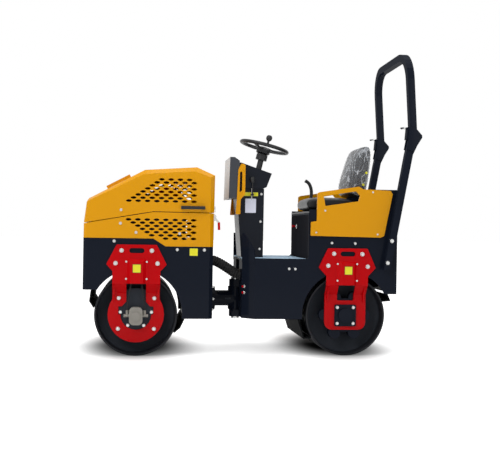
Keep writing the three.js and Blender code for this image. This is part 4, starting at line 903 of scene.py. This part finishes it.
# ---------------------------------------------------------------- details round the centre joint
# Folded gussets stand on the rear frame's front corners, and their top edges slope down along the console. Two
# bolts with red caps stand on each bent corner, for the steering stops.
CORNER_X, CORNER_Y, CORNER_LONG = PIN_X + 0.014, 0.302, 0.078
GUSSET_FOOT = 0.640
GUSSET = ((0.0, 0.842), (0.22, 0.842), (0.97, 0.728), (1.0, 0.700))     # share of the way across, height


def gusset(way):
    """A bent sheet across one corner: at each share of the way, a loop of outer foot, outer top, inner top and
    inner foot. The loop runs the other way round on the left, so that it faces outwards."""
    share, rise = np.array(GUSSET).T[..., None]
    inset = np.array((-0.0021, -0.0021, 0.0028, 0.0028))
    points = np.stack([CORNER_X + CORNER_LONG * share + inset, way * (CORNER_Y + CORNER_LONG * share - inset),
                       np.where((False, True, True, False), rise, GUSSET_FOOT)], -1)[:, ::way]
    return points.reshape(-1, 3), grid_faces(len(GUSSET), 4) + end_caps(len(GUSSET), 4)


for label, way in SIDES:
    new_piece("gusset_" + label, *gusset(way), NAVY, "rear_frame", sharp=20)
    slant = np.array((-1, way, 0)) / np.sqrt(2)
    corner = np.array((CORNER_X + 0.014, way * (CORNER_Y + 0.014), 0))
    stops = [corner + (0, 0, z) for z in (0.475, 0.433)]
    bolt_set("stop_bolts_" + label, stops, slant, 0.017, "rear_frame", cap=0.006)
    bolt_set("stop_caps_" + label, [stop + slant * 0.013 for stop in stops], slant, 0.012, "rear_frame", RED)

# A key plate lies along the yoke's tube. A boot stands where the hoses enter, bolts hold the joint's flange to
# the front frame, and a grease nipple stands under the pin.
KEY_X, KEY_Z = PIN_X - 0.0585, 0.370
thin_sheet("yoke_key", (KEY_X, -0.0562, KEY_Z), *LEFT_FACE, (0.056, 0.028), 0.005, NAVY, "centre_yoke",
                   0.004)
# The slot is a thin dark sheet on the plate: painted shade where the slot opens.
thin_sheet("yoke_key_slot_painted_shade", (KEY_X, -0.0602, KEY_Z), *LEFT_FACE, (0.042, 0.013), 0.004, DRUM_END,
                   "centre_yoke", 0.0004)
ABOUT_X = ((0, 1, 0), (0, 0, 1), (1, 0, 0))
HOSE_BOOT = [(0.0, -0.034), (0.037, -0.034), (0.041, -0.030), (0.041, -0.020), (0.048, -0.014), (0.052, 0.0),
             (0.0, 0.0)]
points, faces = turned(HOSE_BOOT, bundle_route[-1], ABOUT_X)
new_piece("hose_boot", points, faces, RUBBER, "rear_frame", sharp=50)
FLANGE_X, FLANGE_Z, FLANGE_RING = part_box("front_frame")[1][0] - 0.020, 0.370, 0.093
bolt_set("joint_flange_bolts", [(FLANGE_X, FLANGE_RING * np.sin(a), FLANGE_Z + FLANGE_RING * np.cos(a))
         for a in np.radians((30, 90, 150, 210, 270, 330))], (1, 0, 0), 0.016, "front_frame", cap=0.004)
pin_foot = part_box("steering_pin")[0][2]
bolt_set("grease_nipple", [(PIN_X, 0, pin_foot)], (0, 0, -1), 0.010, "rear_frame", cap=0.006)

# ---------------------------------------------------------------- hood latches
# Red rubber grips cover the ends of the hood's latches, and plated keepers stand over them on the hood.
HOOD_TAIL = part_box("hood")[1][0]
GRIP_THICK, GRIP_WIDE = 0.0078, 0.0155    # half sizes of the grip's section


def oblong(distance, angle):
    """A rectangle's edge at an angle from its middle: 1 / max(|cos a| / thick, |sin a| / wide)."""
    return 1 / np.maximum(np.abs(np.cos(angle)) / GRIP_THICK, np.abs(np.sin(angle)) / GRIP_WIDE)


for label, way in SIDES:
    latch_y = way * 0.336
    grip_route = np.linspace((HOOD_TAIL + 0.031, latch_y, 0.914), (HOOD_TAIL + 0.033, latch_y, 0.862), 12)
    points, faces = swept(grip_route, oblong, 32)
    new_piece("latch_grip_" + label, points, faces, RED, "front_frame")
    bolt_set("latch_keeper_" + label, [(HOOD_TAIL - 0.004, latch_y, z) for z in (0.993, 1.012)], (1, 0, 0), 0.020,
             "hood")
    bolt_set("latch_rivets_" + label, [(HOOD_TAIL + 0.006, latch_y - way * 0.019, z) for z in (0.938, 0.955)],
             (1, 0, 0), 0.013, "front_frame")

# ---------------------------------------------------------------- roll bar and its lock pins
# Navy box section. A plated pin goes through the hinge plates on each side, ahead of the fold bolt, and rides on
# the part that folds.
dress(NAVY, "roll_bar_post_left", "roll_bar_post_right", "roll_bar_hoop")
fold_joint = next(j for j in frame["record"]["behaviour"]["joints"] if j["name"] == "roll_bar_fold")
FOLD_X, FOLD_Z = fold_joint["pos_m"][0], fold_joint["pos_m"][2]
PIN_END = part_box("roll_bar_hoop")[1][1] - 0.002
PIN_LONG, LOCK_X, LOCK_Z = 0.072, FOLD_X - 0.111, 1.588
for label, way in SIDES:
    lock_route = np.linspace((LOCK_X, way * (PIN_END - PIN_LONG), LOCK_Z), (LOCK_X, way * PIN_END, LOCK_Z), 14)
    points, faces = swept(lock_route, lambda distance, angle: 0.006, 20)
    new_piece("lock_pin_" + label, points, faces, ZINC, "roll_bar_hoop")
    bolt_set("roll_bar_fold_bolt_" + label, [(FOLD_X, way * 0.4478, FOLD_Z)], (0, way, 0), 0.014, "roll_bar_hoop")
